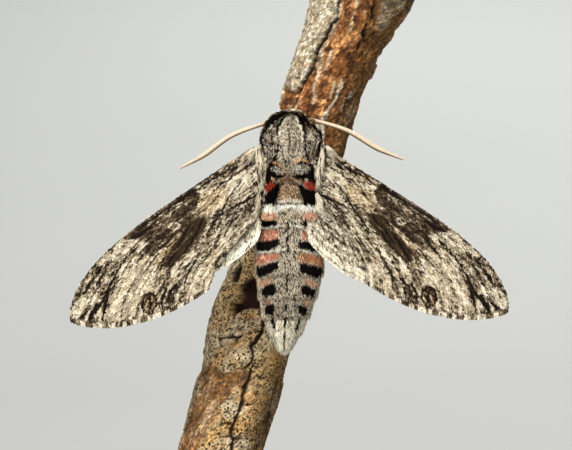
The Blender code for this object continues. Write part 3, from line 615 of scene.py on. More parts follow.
# %% Body marks
BODY_MARKS = (
    ("patch", "ash", (1.2, 292, 115, 300, 122, 303, 134, 304, 150, 303, 160, 298, 166, 290, 170, 282, 168,
        276, 160, 277, 148, 279, 134, 283, 122)),
    ("patch", "hoary",
        (1.5, 281, 128, 285, 121, 290, 124, 288, 140, 286, 158, 280, 162, 278, 150),
        (1.5, 296, 148, 301, 142, 302, 158, 297, 168, 291, 168)),
    ("patch", "panel",
        (1, 269, 127, 277, 131, 278, 142, 277, 152, 272, 162, 266, 160, 263, 150, 260, 142, 262, 134),
        (1, 304, 134, 309, 127, 316, 129, 321, 140, 318, 152, 314, 161, 308, 159, 304, 149)),
    ("patch", "ash",
        (1.2, 308, 132, 314, 133, 317, 138, 312, 142, 307, 139),
        (1, 272, 131, 277, 133, 277, 142, 273, 140)),
    ("line", "umber", ((1, 2.4, 1), 287, 122, 289, 134, 290, 145, 289, 152)),
    ("patch", "gold", (0.8, 260, 128, 266, 117, 275, 109, 287, 104, 300, 106, 313, 114, 317, 127, 306, 131,
        298, 122, 290, 114, 280, 118, 271, 128)),
    ("line", "hoary", ((0.3, 1.1, 0.6), 277, 112, 283, 109.6, 289, 108.8, 297, 109.6, 303, 112.4)),
    ("line", "tan", (0.7, 271, 119.6, 277, 114.6, 284, 111.2)),
    ("line", "soot",
        ((3, 5.4, 4.6, 2), 265, 129, 270, 122.5, 277, 116.6, 284, 113, 290, 112),
        ((1.8, 3.6, 3, 1.5), 292, 113, 297, 116, 301, 121, 304, 128, 305.4, 134, 305.2, 142),
        ((1.2, 3, 2), 296, 112.5, 302, 118, 307, 122.5, 311, 128),
        ((1, 2, 1.2), 301, 113.5, 306, 118, 309.5, 123),
        ((1.8, 3.2, 1.8), 277, 134, 277.6, 127, 281, 121, 284, 117.5)),
    ("line", "cream", (1.4, 269, 130, 274, 126, 279, 121.4)),
    ("line", "ivory", ((0.5, 0.9, 1.3, 0.9, 0.4), 279.6, 136, 280.4, 129, 283, 122, 287.4, 117.4, 292.4,
        115.6, 296.6, 118.4, 299.6, 124.6, 301.6, 132, 302.6, 142)),
    ("line", "soot",
        ((1.8, 2.6, 1.6), 268, 128.5, 263.4, 133, 260.6, 138, 260.4, 142, 263, 147.5, 264.5, 154),
        ((1.8, 3, 2), 310, 125.4, 315.4, 128.6, 319.6, 133.6, 321.6, 139, 321, 142.4, 319, 147.4, 317.4,
         155),
        ((1.6, 3, 5.4), 278, 144, 277, 154, 274.4, 159, 271, 165, 268.6, 172, 268, 182),
        ((1.6, 3, 4.4), 304.6, 144, 306.6, 156, 309.6, 162, 312.4, 168, 313, 176, 312.4, 184)),
    ("line", "line",
        (1.4, 272, 131, 271.4, 138, 273, 146),
        ((0.2, 0.8, 0.2), 299, 130, 299.6, 140, 298.6, 150, 296, 158),
        ((0.6, 1.2, 0.6), 283, 150, 283.4, 158, 286, 166)),
    ("line", "orange", ((0.8, 1.1, 0.7), 272, 164, 275.5, 162.8, 279.2, 164.6, 282.4, 168, 285.4, 171.6,
        287, 175)),
    ("patch", "eye_grey", (0.4, 270.6, 168.6, 273.5, 166.4, 276.6, 166.2, 279.8, 168.4, 283, 171, 285.2,
        173, 281.5, 173.9, 277, 173.4, 273.4, 171.6)),
    ("line", "soot", ((2.2, 2.2, 1), 268.6, 168.4, 272, 165.4, 275.8, 164.6, 279, 166.6, 281.8, 169.6)),
    ("line", "cream", ((0.4, 1, 0.5), 272.4, 170.6, 276.4, 172.8, 283, 173.4)),
    ("patch", "soot", (0.4, 267.6, 167, 270.2, 169.4, 273, 172.2, 277, 174, 281.5, 174.5, 287, 173.6, 284.4,
        176.4, 280.6, 178.4, 276.5, 178.8, 273.2, 177.6, 272.4, 182, 268, 182.5, 267, 176)),
    ("line", "orange", ((1.4, 2.4, 1.4), 272.4, 178.4, 275, 181.2, 277.6, 182, 281, 180, 284, 176.8)),
    ("line", "white", (1, 275, 181.6, 277.6, 182.4, 280.4, 180.8)),
    ("patch", "eye_grey", (0.5, 293, 168.4, 297, 165, 301, 164.2, 305, 166.6, 310, 170, 306.5, 172.6, 301,
        173.2, 296, 172.4)),
    ("line", "orange", ((0.7, 1.6, 1.2), 292.6, 164, 297, 161, 301, 159.8, 306, 160.8, 310.6, 165.6)),
    ("line", "soot", ((1.2, 2.4, 2.6), 295, 165, 299.9, 162.5, 305.2, 163.4, 310, 167.2, 312.4, 172)),
    ("line", "cream", ((0.4, 1, 0.6), 297, 172.6, 303, 172.8, 309, 170.6)),
    ("patch", "soot", (0.5, 290.6, 176.8, 296.5, 174.3, 303, 173.4, 309, 170.5, 314, 171, 313, 184, 308,
        180.2, 303, 179.8, 297, 179)),
    ("line", "orange", ((1.4, 2.4, 1.6), 292, 178.2, 296.9, 181.4, 302.5, 182.8, 307, 181.8)),
    ("line", "white", (1, 295.6, 181.2, 299.6, 182.8, 303, 183)),
    ("patch", "brown", (1, 281, 180, 290, 177, 296, 182, 298, 190, 301, 197, 304, 204, 275, 204, 278, 196,
        279, 189)),
    ("patch", "soot",
        (0.6, 268, 191, 274, 186, 279, 183, 280, 190, 277.5, 196, 276.5, 200, 277, 205.4, 262, 205.4, 263.4,
         196),
        (0.6, 297, 184, 302, 185.4, 308, 188, 317, 192, 316, 198, 315, 205.4, 302, 205.4, 301.5, 199, 300,
         193)),
    ("patch", "red",
        (0.5, 266.4, 184, 273, 182.4, 277, 184.8, 272, 188.6, 268, 192.2, 264, 191),
        (0.5, 301.4, 182.6, 307, 180.8, 314, 182.6, 317, 190.4, 312.4, 190.2, 307, 187.4)),
    ("patch", "cream", (0.8, 276.5, 199.5, 290, 198.8, 302.5, 199.6, 303.5, 203, 276, 203)),
    ("line", "line", (1.3, 277, 204.2, 290, 203.6, 303, 204.2)),
    ("patch", "white", (0.8, 258, 205.6, 276, 205, 290, 204.6, 302, 205, 320, 205.6, 320, 211.6, 303, 212.6,
        299, 209.6, 290, 207.6, 281, 209.6, 277, 213, 258, 213)),
)
# The abdomen's bars, ring by ring: rose and then black on either side, and the next ring's white edge.
RING_MARKS = (
    ("patch", "rose_pale",
        (1.4, 254, 213.6, 270, 213, 277, 214.6, 277, 220, 254, 220.6),
        (1.4, 302.6, 213.6, 322, 213, 322, 220.6, 303, 220)),
    ("patch", "soot",
        (0.5, 254, 220, 275, 220.6, 277.6, 223, 276, 226.6, 270, 227.2, 254, 227.6),
        (0.5, 302, 221.6, 306, 220, 322, 220.6, 322, 227.8, 303, 226.4)),
    ("line", "white", ((1.5, 1.4, 0.1, 1, 1.4), 252, 229, 268, 228, 280, 226, 290, 225.2, 300, 226.6, 310,
        228.6, 324, 230)),
    ("patch", "rose",
        (1.8, 252, 230, 270, 229.6, 279.6, 230.6, 279, 237, 271, 241, 252, 241.6),
        (1.8, 301.6, 232.6, 308, 230, 324, 230.4, 324, 241, 302, 239.6)),
    ("patch", "soot",
        (0.5, 252, 242, 268, 241, 278.8, 238.4, 279.8, 244, 276, 247.4, 268, 251, 252, 251.4),
        (0.5, 297.6, 240.4, 303, 242, 308, 240.6, 324, 242, 324, 252, 306, 250.6, 298.4, 247)),
    ("line", "white", ((1.5, 1.5, 0.1, 1.2, 1.3), 250, 253.4, 268, 251.8, 280, 250.2, 290, 249.4, 300,
        250.6, 312, 253, 326, 256)),
    ("patch", "rose", (1.8, 250, 256, 268, 253.4, 280, 253, 279, 258.6, 270, 262.4, 250, 267)),
    ("patch", "rust", (1.8, 296.4, 256.4, 301, 253.2, 312, 254.6, 328, 259, 328, 269, 310, 264, 298,
        260.8)),
    ("patch", "soot",
        (0.6, 250, 268.4, 266, 264.8, 278.4, 261, 279, 268.6, 273, 272.6, 262, 277, 250, 279),
        (0.6, 298.8, 262, 310, 265, 328, 270, 328, 280, 314, 277.4, 300.4, 273)),
    ("line", "pale", ((1.2, 1.4, 0.4, 1.4, 1), 252, 280.6, 266, 277, 278, 274, 290, 273, 300, 275, 312, 279,
        326, 281.6)),
    ("patch", "rose_pale",
        (1, 258, 281.6, 266, 278.4, 272.8, 278, 270, 283, 264, 287.4, 257, 287),
        (1, 303.6, 278.4, 310, 279.6, 318, 283, 318, 288.4, 309, 286.4, 304.6, 282.4)),
    ("patch", "soot",
        (0.7, 261, 289.4, 267, 285.4, 272.4, 284, 277, 288, 275.4, 293.6, 270, 296.6, 262.4, 296.4),
        (0.7, 301, 287, 306, 284.4, 311, 288, 316.4, 290, 314, 297.4, 308, 297.8, 301.6, 294)),
    ("line", "pale", ((1, 1.2, 0.3, 1.2, 1), 260, 299.4, 272, 298, 290, 296.6, 304, 298.4, 316, 300)),
    ("patch", "rose_pale",
        (1, 264, 301, 270, 299.8, 273.4, 301.2, 267, 306),
        (1, 301.4, 301, 306, 300.2, 310.4, 303, 308, 306.6)),
    ("patch", "soot",
        (0.7, 264.4, 308.8, 269, 304.6, 274, 303.6, 275.4, 309.4, 272.4, 315.4, 265.4, 314.6),
        (0.7, 298, 306.8, 301, 303.6, 305, 306, 308.4, 312.8, 304.4, 316.8, 299, 313.4)),
    ("line", "pale", ((0.8, 0.8, 0.2, 0.8, 0.8), 266, 317, 280, 316, 290, 315.6, 300, 316.4, 308, 318)),
    ("line", "soot",
        ((1.6, 3.2, 1.4), 272.4, 317.6, 273.6, 323, 274.4, 328, 276, 331),
        ((1.6, 3.4, 1.4), 299.4, 317, 298.4, 323, 296.8, 328, 295, 332)),
    ("line", "line",
        ((1.2, 2.4), 288.4, 222, 288.6, 229),
        ((1.2, 2.6, 1.2), 288.4, 233, 287.6, 243),
        (1.9, 288.2, 246, 288, 252),
        ((1.2, 2.6, 1.2), 287.8, 272, 287, 281, 286.4, 291),
        ((1.2, 2.4, 1.2), 286.2, 304, 285.8, 311)),
    ("line", "soot", ((1.2, 2.6, 1.6), 285.4, 317, 285, 326)),
    ("line", "line",
        ((1.6, 2.2, 1), 285.2, 331, 284.6, 340),
        (1.4, 284.4, 341, 284, 349)),
)
print(len(BODY_MARKS) + len(RING_MARKS), "body marks")

# %% [markdown]
# ## Paint of the body
# On the animal the colour sits in each scale, not in the skin. So a function gives the paint of any place,
# and every hair asks it for its colours. It lays a ground that changes along the body, then the drawn
# marks, then flank and belly.

# %% Body paint
# The depth of the body's middle at a few distances from the waist, + towards the head.
BODY_MIDDLE = (
    (-33.0, -3.0), (-24.0, -5.4), (-15.0, -7.2), (-3.5, -7.8), (0.0, -8.3), (7.0, -8.8), (9.6, -7.9),
    (13.0, -7.1),
)
WAIST_X = 0.68
BODY_LEAN = math.tan(math.radians(1.8))
BELLY_BOW = {"along": -16.0, "swell": 0.5, "long": 8.0}


def axis_x(along):
    """The body's middle, across: a lean plus a bow in the shape of a bell."""
    bow = BELLY_BOW["swell"] * np.exp(-(((along - BELLY_BOW["along"]) / BELLY_BOW["long"]) ** 2))
    return WAIST_X + BODY_LEAN * along + bow


def body_place(points):
    """The distance along the body from the waist, and the angle round it from its back, + towards +X."""
    along = points[:, 2] - WAIST_Z
    middle = np.interp(along, *np.array(BODY_MIDDLE).T)
    return along, np.arctan2(points[:, 0] - axis_x(along), middle - points[:, 1])

# %% Colours of the body


def body_paint(points):
    """The body's paints: a grey ground that changes along it, then the marks, then flank and belly."""
    along, turn = body_place(points)
    turn = np.abs(np.degrees(turn))
    spots = picture_place(points)
    spots = spots + wobble(spots / 2.6, 5) * 0.8
    spots = spots + wobble(spots / 0.8, 7) * 1.1
    ground = layered(
        PAINT, "ash",
        ("hoary", ramp(-2.0, -5.0, along) * 0.6),
        ("tan", ramp(0.0, 0.6, noise(points / 0.9, 22)) * 0.4),
        ("ivory", ramp(-24.0, -28.0, along) * 0.95),
    )
    ground = painted(ground, spots, BODY_MARKS + RING_MARKS)
    side = layered(
        PAINT, "hoary", ("pale", 0.5 + 0.5 * noise(points / 1.2, 21)), ("gold", ramp(7.8, 9.4, along) * 0.9)
    )
    flank = ramp(np.where(along < -2.0, 72.0, 76.0), 92.0, turn)
    return layered(PAINT, ground, (side, flank * 0.95), ("cream", ramp(108.0, 132.0, turn) * 0.9))


def body_dust(points, seed, own=0.8):
    """The order that decides which scales are dark or pale: blotches drawn out along the body, a finer set of
    them, and chance."""
    lanes = beside(body_place(points)[1] * 5.0 / 0.2, points[:, 2] / 0.34)
    value = noise(lanes, seed) + 0.8 * noise(lanes * (1.7, 1.9), seed + 1)
    return order_of(value + own * np.random.default_rng(seed + 2).normal(0.0, 1.0, len(points)))


print("paint at the middle of the back:", body_paint(np.array([[0.9, -14.0, 84.0]])).round(3))

# %% [markdown]
# ## Skin
# Under its hair the moth has one unbroken skin. The CAD has head, thorax, abdomen and palps as separate
# forms, so the skin starts as the same forms, a little smaller, and a voxel remesh melts them into one
# closed surface with no seam. Remeshing suits this better than joining edges by hand, because the forms
# meet at odd angles.

# %% Forms under the skin
# Each station is (distance from the waist, half width, half depth, depth of the middle).
THORAX = (
    (-1.6, 0.0, 0.0, -8.3), (-0.9, 3.7, 3.4, -8.3), (1.0, 4.9, 4.7, -8.5), (4.0, 5.5, 5.5, -8.8),
    (7.4, 5.7, 5.6, -8.8), (9.3, 4.6, 4.2, -9.2), (10.7, 2.8, 2.5, -9.5), (11.2, 0.0, 0.0, -9.6),
)
HEAD = (
    (6.6, 0.0, 0.0, -6.6), (7.2, 2.1, 1.9, -6.6), (9.0, 3.4, 3.1, -6.7), (10.9, 3.5, 3.2, -6.9),
    (12.4, 2.3, 2.1, -7.1), (13.0, 0.0, 0.0, -7.2),
)
ABDOMEN = (
    (-32.8, 0.0, 0.0, -3.0), (-32.3, 1.1, 0.9, -3.1), (-30.6, 2.2, 1.6, -3.5), (-27.6, 3.6, 2.4, -4.4),
    (-24.0, 4.9, 3.2, -5.4), (-20.2, 5.8, 3.9, -6.4), (-15.0, 6.5, 4.4, -7.2), (-9.0, 6.3, 4.4, -7.6),
    (-3.5, 5.7, 4.2, -7.8), (-0.4, 4.3, 3.6, -8.1), (0.2, 0.0, 0.0, -8.1),
)
TERGITE_EDGES = (-4.3, -8.4, -12.8, -17.2, -21.5, -25.2, -28.5)
TERGITE_STEP = 0.26
SWELLS = (
    {"along": 6.4, "angle": 52.0, "swell": 0.42, "long": 3.4, "wide": 20.0},
    {"along": 7.0, "angle": 0.0, "swell": 0.3, "long": 4.2, "wide": 13.0},
    {"along": 1.7, "angle": 27.0, "swell": 0.55, "long": 1.1, "wide": 15.0},
)
PALP = {"centre": (1.32, -4.3, 11.7), "radii": (0.74, 1.75, 1.0), "nod": 38.0}
THORAX_COAT = 0.5
ABDOMEN_COAT = 0.28
HEAD_COAT = 0.35

# %% Smooth curves through stations


def smooth_through(table, at):
    """A cubic between neighbouring rows whose slopes are harmonic means, so that it never overshoots."""
    table = np.array(table, float)
    place, values = table[:, 0], table[:, 1:]
    step = np.diff(place)[:, None]
    rise = np.diff(values, axis=0) / step
    slope = np.zeros_like(values)
    same = rise[:-1] * rise[1:] > 0
    bottom = np.where(same, rise[:-1] + rise[1:], 1.0)
    slope[1:-1] = np.where(same, 2 * rise[:-1] * rise[1:] / bottom, 0.0)
    slope[0], slope[-1] = rise[0], rise[-1]
    at = np.clip(np.asarray(at, float), place[0], place[-1])
    low = np.clip(np.searchsorted(place, at, side="right") - 1, 0, len(place) - 2)
    t = ((at - place[low]) / (place[low + 1] - place[low]))[:, None]
    h = step[low]
    near = values[low] * (1 + 2 * t) * (1 - t) ** 2 + slope[low] * h * t * (1 - t) ** 2
    far = values[low + 1] * t * t * (3 - 2 * t) - slope[low + 1] * h * t * t * (1 - t)
    return near + far

# %% Swellings


def thorax_rise(along, angle):
    """Shoulder plates, a crest and two rear tufts: bells centred at a distance along and an angle round."""
    total, degrees = 0.0, np.abs(np.degrees(angle))
    for spot in SWELLS:
        away = ((along - spot["along"]) / spot["long"]) ** 2 + ((degrees - spot["angle"]) / spot["wide"]) ** 2
        total = total + spot["swell"] * np.exp(-away)
    return total


def tergite_rise(along, angle):
    """Each ring swells towards its rear edge, by the square of the share of the way, and drops there."""
    edges = np.array(sorted(TERGITE_EDGES))
    place = np.clip(np.searchsorted(edges, along), 1, len(edges) - 1)
    share = np.clip((edges[place] - along) / (edges[place] - edges[place - 1]), 0.0, 1.0)
    return TERGITE_STEP * np.where(along > edges[0], share**2, 0.0) + 0 * angle

# %% Closed forms


def body_form(stations, squareness, coat, rows=110, sides=96, rise=None):
    """Rings on the stations. A ring is a circle squared up by reach = (|sin|^q + |cos|^q)^(-1/q)."""
    share = (1 - np.cos(np.linspace(0, math.pi, rows))) / 2
    first, last = stations[0][0], stations[-1][0]
    start, end = first + coat, last - coat
    along = start + (end - start) * (0.5 * share + 0.5 * np.linspace(0, 1, rows))
    along_read = first + (along - start) / (end - start) * (last - first)
    width, depth, middle = smooth_through(stations, along_read).T[:, :, None]
    along = along[:, None]
    angle = np.linspace(-math.pi, math.pi, sides, endpoint=False)[None, :]
    reach = (np.abs(np.sin(angle)) ** squareness + np.abs(np.cos(angle)) ** squareness) ** (-1 / squareness)
    lift = -coat * ramp(0, 3 * coat, width)
    if rise is not None:
        lift = lift + rise(along, angle) * ramp(0, 2.0, width)
    x = axis_x(along) + np.sin(angle) * (width * reach + lift)
    y = middle - np.cos(angle) * (depth * reach + lift)
    return beside(x, y, WAIST_Z + along).reshape(-1, 3), grid_faces(rows, sides, True)


def palp_form(side, coat=0.12, rows=40, sides=40):
    """An egg: a sphere with its far end narrowed, stretched, and nodded about the across axis."""
    down = np.linspace(0, math.pi, rows)[:, None]
    angle = np.linspace(0, 2 * math.pi, sides, endpoint=False)[None, :]
    y = np.cos(down)
    taper = 1 - 0.25 * np.maximum(y, 0)
    radii = np.array(PALP["radii"]) - coat
    x, z = np.sin(down) * np.sin(angle) * taper * radii[0], np.sin(down) * np.cos(angle) * taper * radii[2]
    y = y * radii[1]
    nod = math.radians(PALP["nod"])
    across, depth, along = PALP["centre"]
    x = x + axis_x(along) + side * across
    up = WAIST_Z + along + y * math.sin(nod) + z * math.cos(nod)
    points = beside(x, depth + y * math.cos(nod) - z * math.sin(nod), up)
    return points.reshape(-1, 3), grid_faces(rows, sides, True)

# %% Melt the forms into one skin
SKIN_VOXEL = 0.26
SKIN_PAINTED_SHADE = 0.55
CHART_TAIL = 34.0
CHART_LENGTH = 48.0


def melted(forms, voxel, rounds):
    """Joins closed forms by a voxel remesh and evens the result; gives its points and triangles."""
    points, faces = together(forms)
    mesh = bpy.data.meshes.new("forms")
    mesh.from_pydata((points * MM).tolist(), [], faces.tolist())
    bm = bmesh.new()
    bm.from_mesh(mesh)
    bmesh.ops.remove_doubles(bm, verts=bm.verts, dist=1e-7)
    bm.to_mesh(mesh)
    bm.free()
    obj = bpy.data.objects.new("forms", mesh)
    bpy.context.scene.collection.objects.link(obj)
    remesh = obj.modifiers.new("remesh", "REMESH")
    remesh.mode, remesh.voxel_size, remesh.adaptivity = "VOXEL", voxel * MM, 0.0
    even = obj.modifiers.new("even", "SMOOTH")
    even.factor, even.iterations = 0.5, rounds
    bpy.context.view_layer.update()
    made = bpy.data.meshes.new_from_object(obj.evaluated_get(bpy.context.evaluated_depsgraph_get()))
    bpy.data.objects.remove(obj)
    bm = bmesh.new()
    bm.from_mesh(made)
    bmesh.ops.triangulate(bm, faces=bm.faces)
    bm.to_mesh(made)
    bm.free()
    co = np.zeros(len(made.vertices) * 3, np.float32)
    made.vertices.foreach_get("co", co)
    index = np.zeros(len(made.polygons) * 3, np.int32)
    made.polygons.foreach_get("vertices", index)
    return co.reshape(-1, 3).astype(float) / MM, index.reshape(-1, 3)

# %% The skin itself
body_forms = (
    body_form(THORAX, 2.6, THORAX_COAT, rise=thorax_rise),
    body_form(HEAD, 2.2, HEAD_COAT),
    body_form(ABDOMEN, 2.2, ABDOMEN_COAT, rows=260, rise=tergite_rise),
    palp_form(-1),
    palp_form(1),
)
skin_points, skin_faces = melted(body_forms, SKIN_VOXEL, rounds=4)
skin_normals = point_normals(skin_points, skin_faces)


def skin_chart(points):
    """The skin unrolled: the angle round the body across the map, the distance along it up the map."""
    along, turn = body_place(points)
    return beside(turn / (2 * math.pi) + 0.5, (along + CHART_TAIL) / CHART_LENGTH)


# Painted shade: the skin between the hairs is darkened, as if the coat shades it.
skin_tints = dusted(body_paint(skin_points), body_dust(skin_points, 3)) * SKIN_PAINTED_SHADE
skin = make_piece(
    "moth_skin", skin_points, skin_faces, skin_finish, "coat", skin_tints, skin_chart(skin_points)
)
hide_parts("head", "thorax", "abdomen", "palp_left", "palp_right")

# %% [markdown]
# ## Coat of the body
# A hawk-moth's thorax is furry: long fine hair-scales that lie back towards the tail. Those of the abdomen
# are broader and lie flatter. Particle hair would not survive the export, so each hair is a small solid of
# three sides, sunk at its root and bent back over the skin. A hair has the colours of the places that it
# passes over, so that marks stay where they belong.

# %% Hair on the skin


def likes_thorax(along, turn):
    return ramp(-2.2, -1.2, along) * ramp(10.6, 9.6, along) + 0.02


def likes_head(along, turn):
    return ramp(9.0, 9.8, along)


def likes_abdomen(along, turn):
    return ramp(-0.6, -1.6, along)


def likes_flank(along, turn):
    side = np.exp(-(((np.abs(np.degrees(turn)) - 92.0) / 11.0) ** 2))
    return ramp(-3.0, -5.0, along) * side * (along > -31.0)

# %% Hairs of thorax, abdomen and head
# Count, seed, where they grow, least and most length, width and lift in degrees, and how far they stray.
BODY_HAIRS = {
    "thorax_0": (14500, 100, likes_thorax, (0.4, 0.75), (0.1, 0.16), (8, 20), 0.18),
    "abdomen_0": (12500, 200, likes_abdomen, (0.42, 0.78), (0.13, 0.21), (6, 15), 0.17),
    "thorax_1": (14500, 110, likes_thorax, (0.4, 0.75), (0.1, 0.16), (8, 20), 0.18),
    "abdomen_1": (12500, 210, likes_abdomen, (0.42, 0.78), (0.13, 0.21), (6, 15), 0.17),
    "head": (8000, 300, likes_head, (0.4, 0.75), (0.08, 0.13), (12, 24), 0.16),
    "flank": (2000, 330, likes_flank, (0.8, 1.3), (0.1, 0.16), (8, 22), 0.15, "pale"),
}


def body_coat(count, seed, likes, length, width, lift, stray, paint=None):
    """Roots scattered over the skin, with the hair's lie tailwards along it. The hair has the colours of the
    places that it passes over, with a paint mixed in if one is given."""
    corners, shares = scatter(skin_points, skin_faces, count, seed, lambda points: likes(*body_place(points)))
    root = read_at(skin_points, corners, shares)
    out = unit(read_at(skin_normals, corners, shares))
    dice = np.random.default_rng(seed + 1)
    tail = beside(0.12 * out[:, 0], 0.05, -1.0)
    lie = flat_on(out, tail + dice.normal(0.0, stray, (count, 3)))
    angle = np.radians(dice.uniform(*lift, count))
    order = body_dust(root, seed + 2)

    def colour_at(places):
        paints = body_paint(places)
        return dusted(mixed(paints, PAINT[paint], np.full(count, 0.8)) if paint else paints, order)

    return {
        "root": root - out * 0.08, "lie": lie, "out": out, "length": dice.uniform(*length, count),
        "lift": angle, "bend": dice.normal(0.0, 0.12, count), "droop": 0.25 * np.sin(angle),
        "width": dice.uniform(*width, count), "height": dice.uniform(*width, count) * 0.6,
        "colour_at": colour_at, "root_shade": 0.48, "chart": skin_chart(root),
    }


for hair_name, hairs in BODY_HAIRS.items():
    grow_coat("hair_" + hair_name, HAIR, body_coat(*hairs), hair_finish, "coat")

# %% [markdown]
# ## Tufts
# Longer hair stands out at the shoulders, the sides, the waist, the head and the tail. Scattered roots
# can't be aimed, so each tuft is combed along a line drawn on the photograph, in a thin bed beside that
# line.

# %% Tufts
# Each tuft is its paint, count of hairs, least and most length, half widths from its start to its end in the
# photograph's pixels, and a line of pixels with a depth in millimetres.
TUFTS = {
    "side_left": ("hoary", 750, (1.2, 2.2), (2.2, 2.6, 2, 0.5), ((257.5, 146, -12.9), (259, 158, -13.3),
        (260, 170, -13.4), (260.5, 184, -13.3))),
    "side_right": ("hoary", 750, (1.2, 2.2), (2.2, 2.6, 2, 0.5), ((324, 146, -12.9), (322, 158, -13.3),
        (319.6, 170, -13.4), (317.7, 184.6, -13.3))),
    "shoulder_left": ("pale", 600, (0.9, 1.5), (2, 4, 3), ((258, 148, -12.9), (252, 154, -12.9), (246.5,
        160, -12.8))),
    "shoulder_right": ("pale", 500, (0.9, 1.4), (1.6, 3.2, 2.4), ((325, 147, -12.9), (329.5, 151.5, -12.9),
        (334, 157, -12.8))),
    "waist_right": ("cream", 350, (0.9, 1.6), (1.2, 3, 2.4), ((316, 193, -13.3), (318.4, 200, -13.4),
        (319.4, 208, -13.2))),
    "waist_left": ("pale", 250, (0.9, 1.6), (1, 2.2, 1.8), ((260, 189, -13.1), (258.6, 198, -13.2), (258,
        207, -13))),
    "waist_patch_left": (None, 3000, (0.5, 0.8), (3.2, 4, 6, 7, 7.5), ((270, 164, -13.5), (270, 178, -13.4),
        (269.5, 192, -13.1), (268.5, 208, -12.2), (268, 221, -11.9))),
    "waist_patch_right": (None, 3000, (0.5, 0.8), (3.2, 4, 6, 7, 7.5), ((310, 164, -13.5), (309.6, 178,
        -13.4), (308.6, 192, -13.1), (309.4, 208, -12.2), (310, 221, -11.9))),
    "plate_left": (None, 1700, (0.45, 0.8), (4.2, 5.4, 4.4, 3.4), ((270, 122, -10.4), (266.6, 131, -11.7),
        (264, 142, -12.6), (266, 157, -13))),
    "plate_right": (None, 1700, (0.45, 0.8), (4, 5.6, 5, 3.4), ((309, 121, -10.4), (315, 131, -11.7),
        (317.6, 142, -12.6), (315, 157, -13))),
    "brow_left": (None, 1100, (0.4, 0.7), (2.2, 3, 4, 4), ((293, 111.8, -9.4), (284, 113, -9.6), (275.4,
        117.4, -9.7), (268.6, 125, -10))),
    "brow_right": (None, 1100, (0.4, 0.7), (2.2, 3, 4, 4), ((287, 111.4, -9.3), (297, 112.2, -9.6), (304.6,
        117.4, -9.7), (311, 125.4, -10))),
    "tail": (None, 1600, (0.6, 1), (8, 9, 4), ((285.4, 320, -9), (284.6, 333, -7.9), (284, 348, -6.5))),
}


def tuft_coat(paint, count, length, half, line, seed):
    """Hairs spread evenly along a tuft's line and across its width, pointing along the line, in a thin bed
    whose middle stands highest."""
    dice = np.random.default_rng(seed)
    x, y, depth = np.array(line, float).T
    at = dice.random(count) * 0.94
    side = dice.uniform(-1, 1, count) + dice.normal(0, 0.05, count)
    half = evenly(half, at)
    pixel = beside(evenly(x, at), evenly(y, at))
    ahead = unit(beside(evenly(x, at + 0.05), evenly(y, at + 0.05)) - pixel + 1e-6)
    pixel = pixel + beside(-ahead[:, 1], ahead[:, 0]) * (side * half)[:, None]
    depth = evenly(depth, at) - 0.35 * (1 - side**2) * dice.uniform(0.2, 1.0, count) + 0.06 * half * side**4
    off = (pixel - PICTURE_MIDDLE) / PIXELS_PER_MM
    root = beside(off[:, 0], depth, VIEW_HEIGHT - off[:, 1])
    lie = unit(beside(ahead[:, 0], 0.0, -ahead[:, 1]) + dice.normal(0, 0.09, (count, 3)))
    order = order_of(noise(pixel / (1.2, 3.0), seed) + (0.4 if paint else 0.9) * dice.normal(0, 1, count))
    paints = np.tile(PAINT[paint], (count, 1)) if paint else body_paint(root + lie * 0.35)
    return {
        "root": root, "lie": lie, "out": flat_on(lie, np.array([0.0, -1.0, 0.0])),
        "length": dice.uniform(*length, count), "lift": np.radians(dice.uniform(2, 9, count)),
        "bend": dice.normal(0, 0.08, count), "droop": np.full(count, 0.1),
        "width": dice.uniform(0.1, 0.17, count), "height": np.full(count, 0.08),
        "tint": dusted(paints, order), "chart": skin_chart(root), "root_shade": 0.75,
    }


def joined(coats):
    """Several coats as one: arrays end to end, and anything else as the first coat has it."""
    return {
        key: np.concatenate([coat[key] for coat in coats]) if isinstance(first, np.ndarray) else first
        for key, first in coats[0].items()
    }


tufts = [tuft_coat(*tuft, 350 + order) for order, tuft in enumerate(TUFTS.values())]
grow_coat("hair_tufts", HAIR, joined(tufts), hair_finish, "coat")

# %% [markdown]
# ## Wings
# A wing is a membrane a few hundredths of a millimetre thick, stiffened by veins that start at the root and
# fan out to the margin. Its plan is a Coons patch: four edges blended so that every inner line follows
# them, which gives a natural place along the wing (u, root to margin) and across it (t, leading to inner
# edge) for everything that lies on it. The CAD wing is half a millimetre thick so that it can be packed;
# the membrane here runs through the middle of it.

# %% Wing plans
FOREWING = {
    "length": 45.0, "base": (-4.0, -0.3), "shoulder": 4.07, "shoulder_round": (4.5, 0.75), "root_bend": 1.1,
    "inner_base": 2.35, "tornus": (20.9, 11.5), "margin_bulge": 10.85, "scallop": 0.16,
    "veins": (
        (0.16, 0.09, 0.5), (0.22, 0.2, 0.42), (0.29, 0.32, 0.0), (0.4, 0.44, 0.5), (0.5, 0.56, 0.46),
        (0.57, 0.68, 0.0), (0.64, 0.8, 0.36), (0.86, 0.93, 0.0),
    ),
}
HINDWING = {
    "length": 25.9, "base": (-2.9, -0.6), "shoulder": 1.5, "shoulder_round": (4.0, 0.8), "root_bend": 0.75,
    "inner_base": 2.0, "tornus": (7.4, 8.2), "margin_bulge": 10.7, "scallop": 0.14,
    "veins": (
        (0.14, 0.1, 0.0), (0.28, 0.23, 0.4), (0.36, 0.36, 0.0), (0.5, 0.5, 0.45), (0.6, 0.63, 0.0),
        (0.7, 0.77, 0.35), (0.88, 0.9, 0.0),
    ),
}
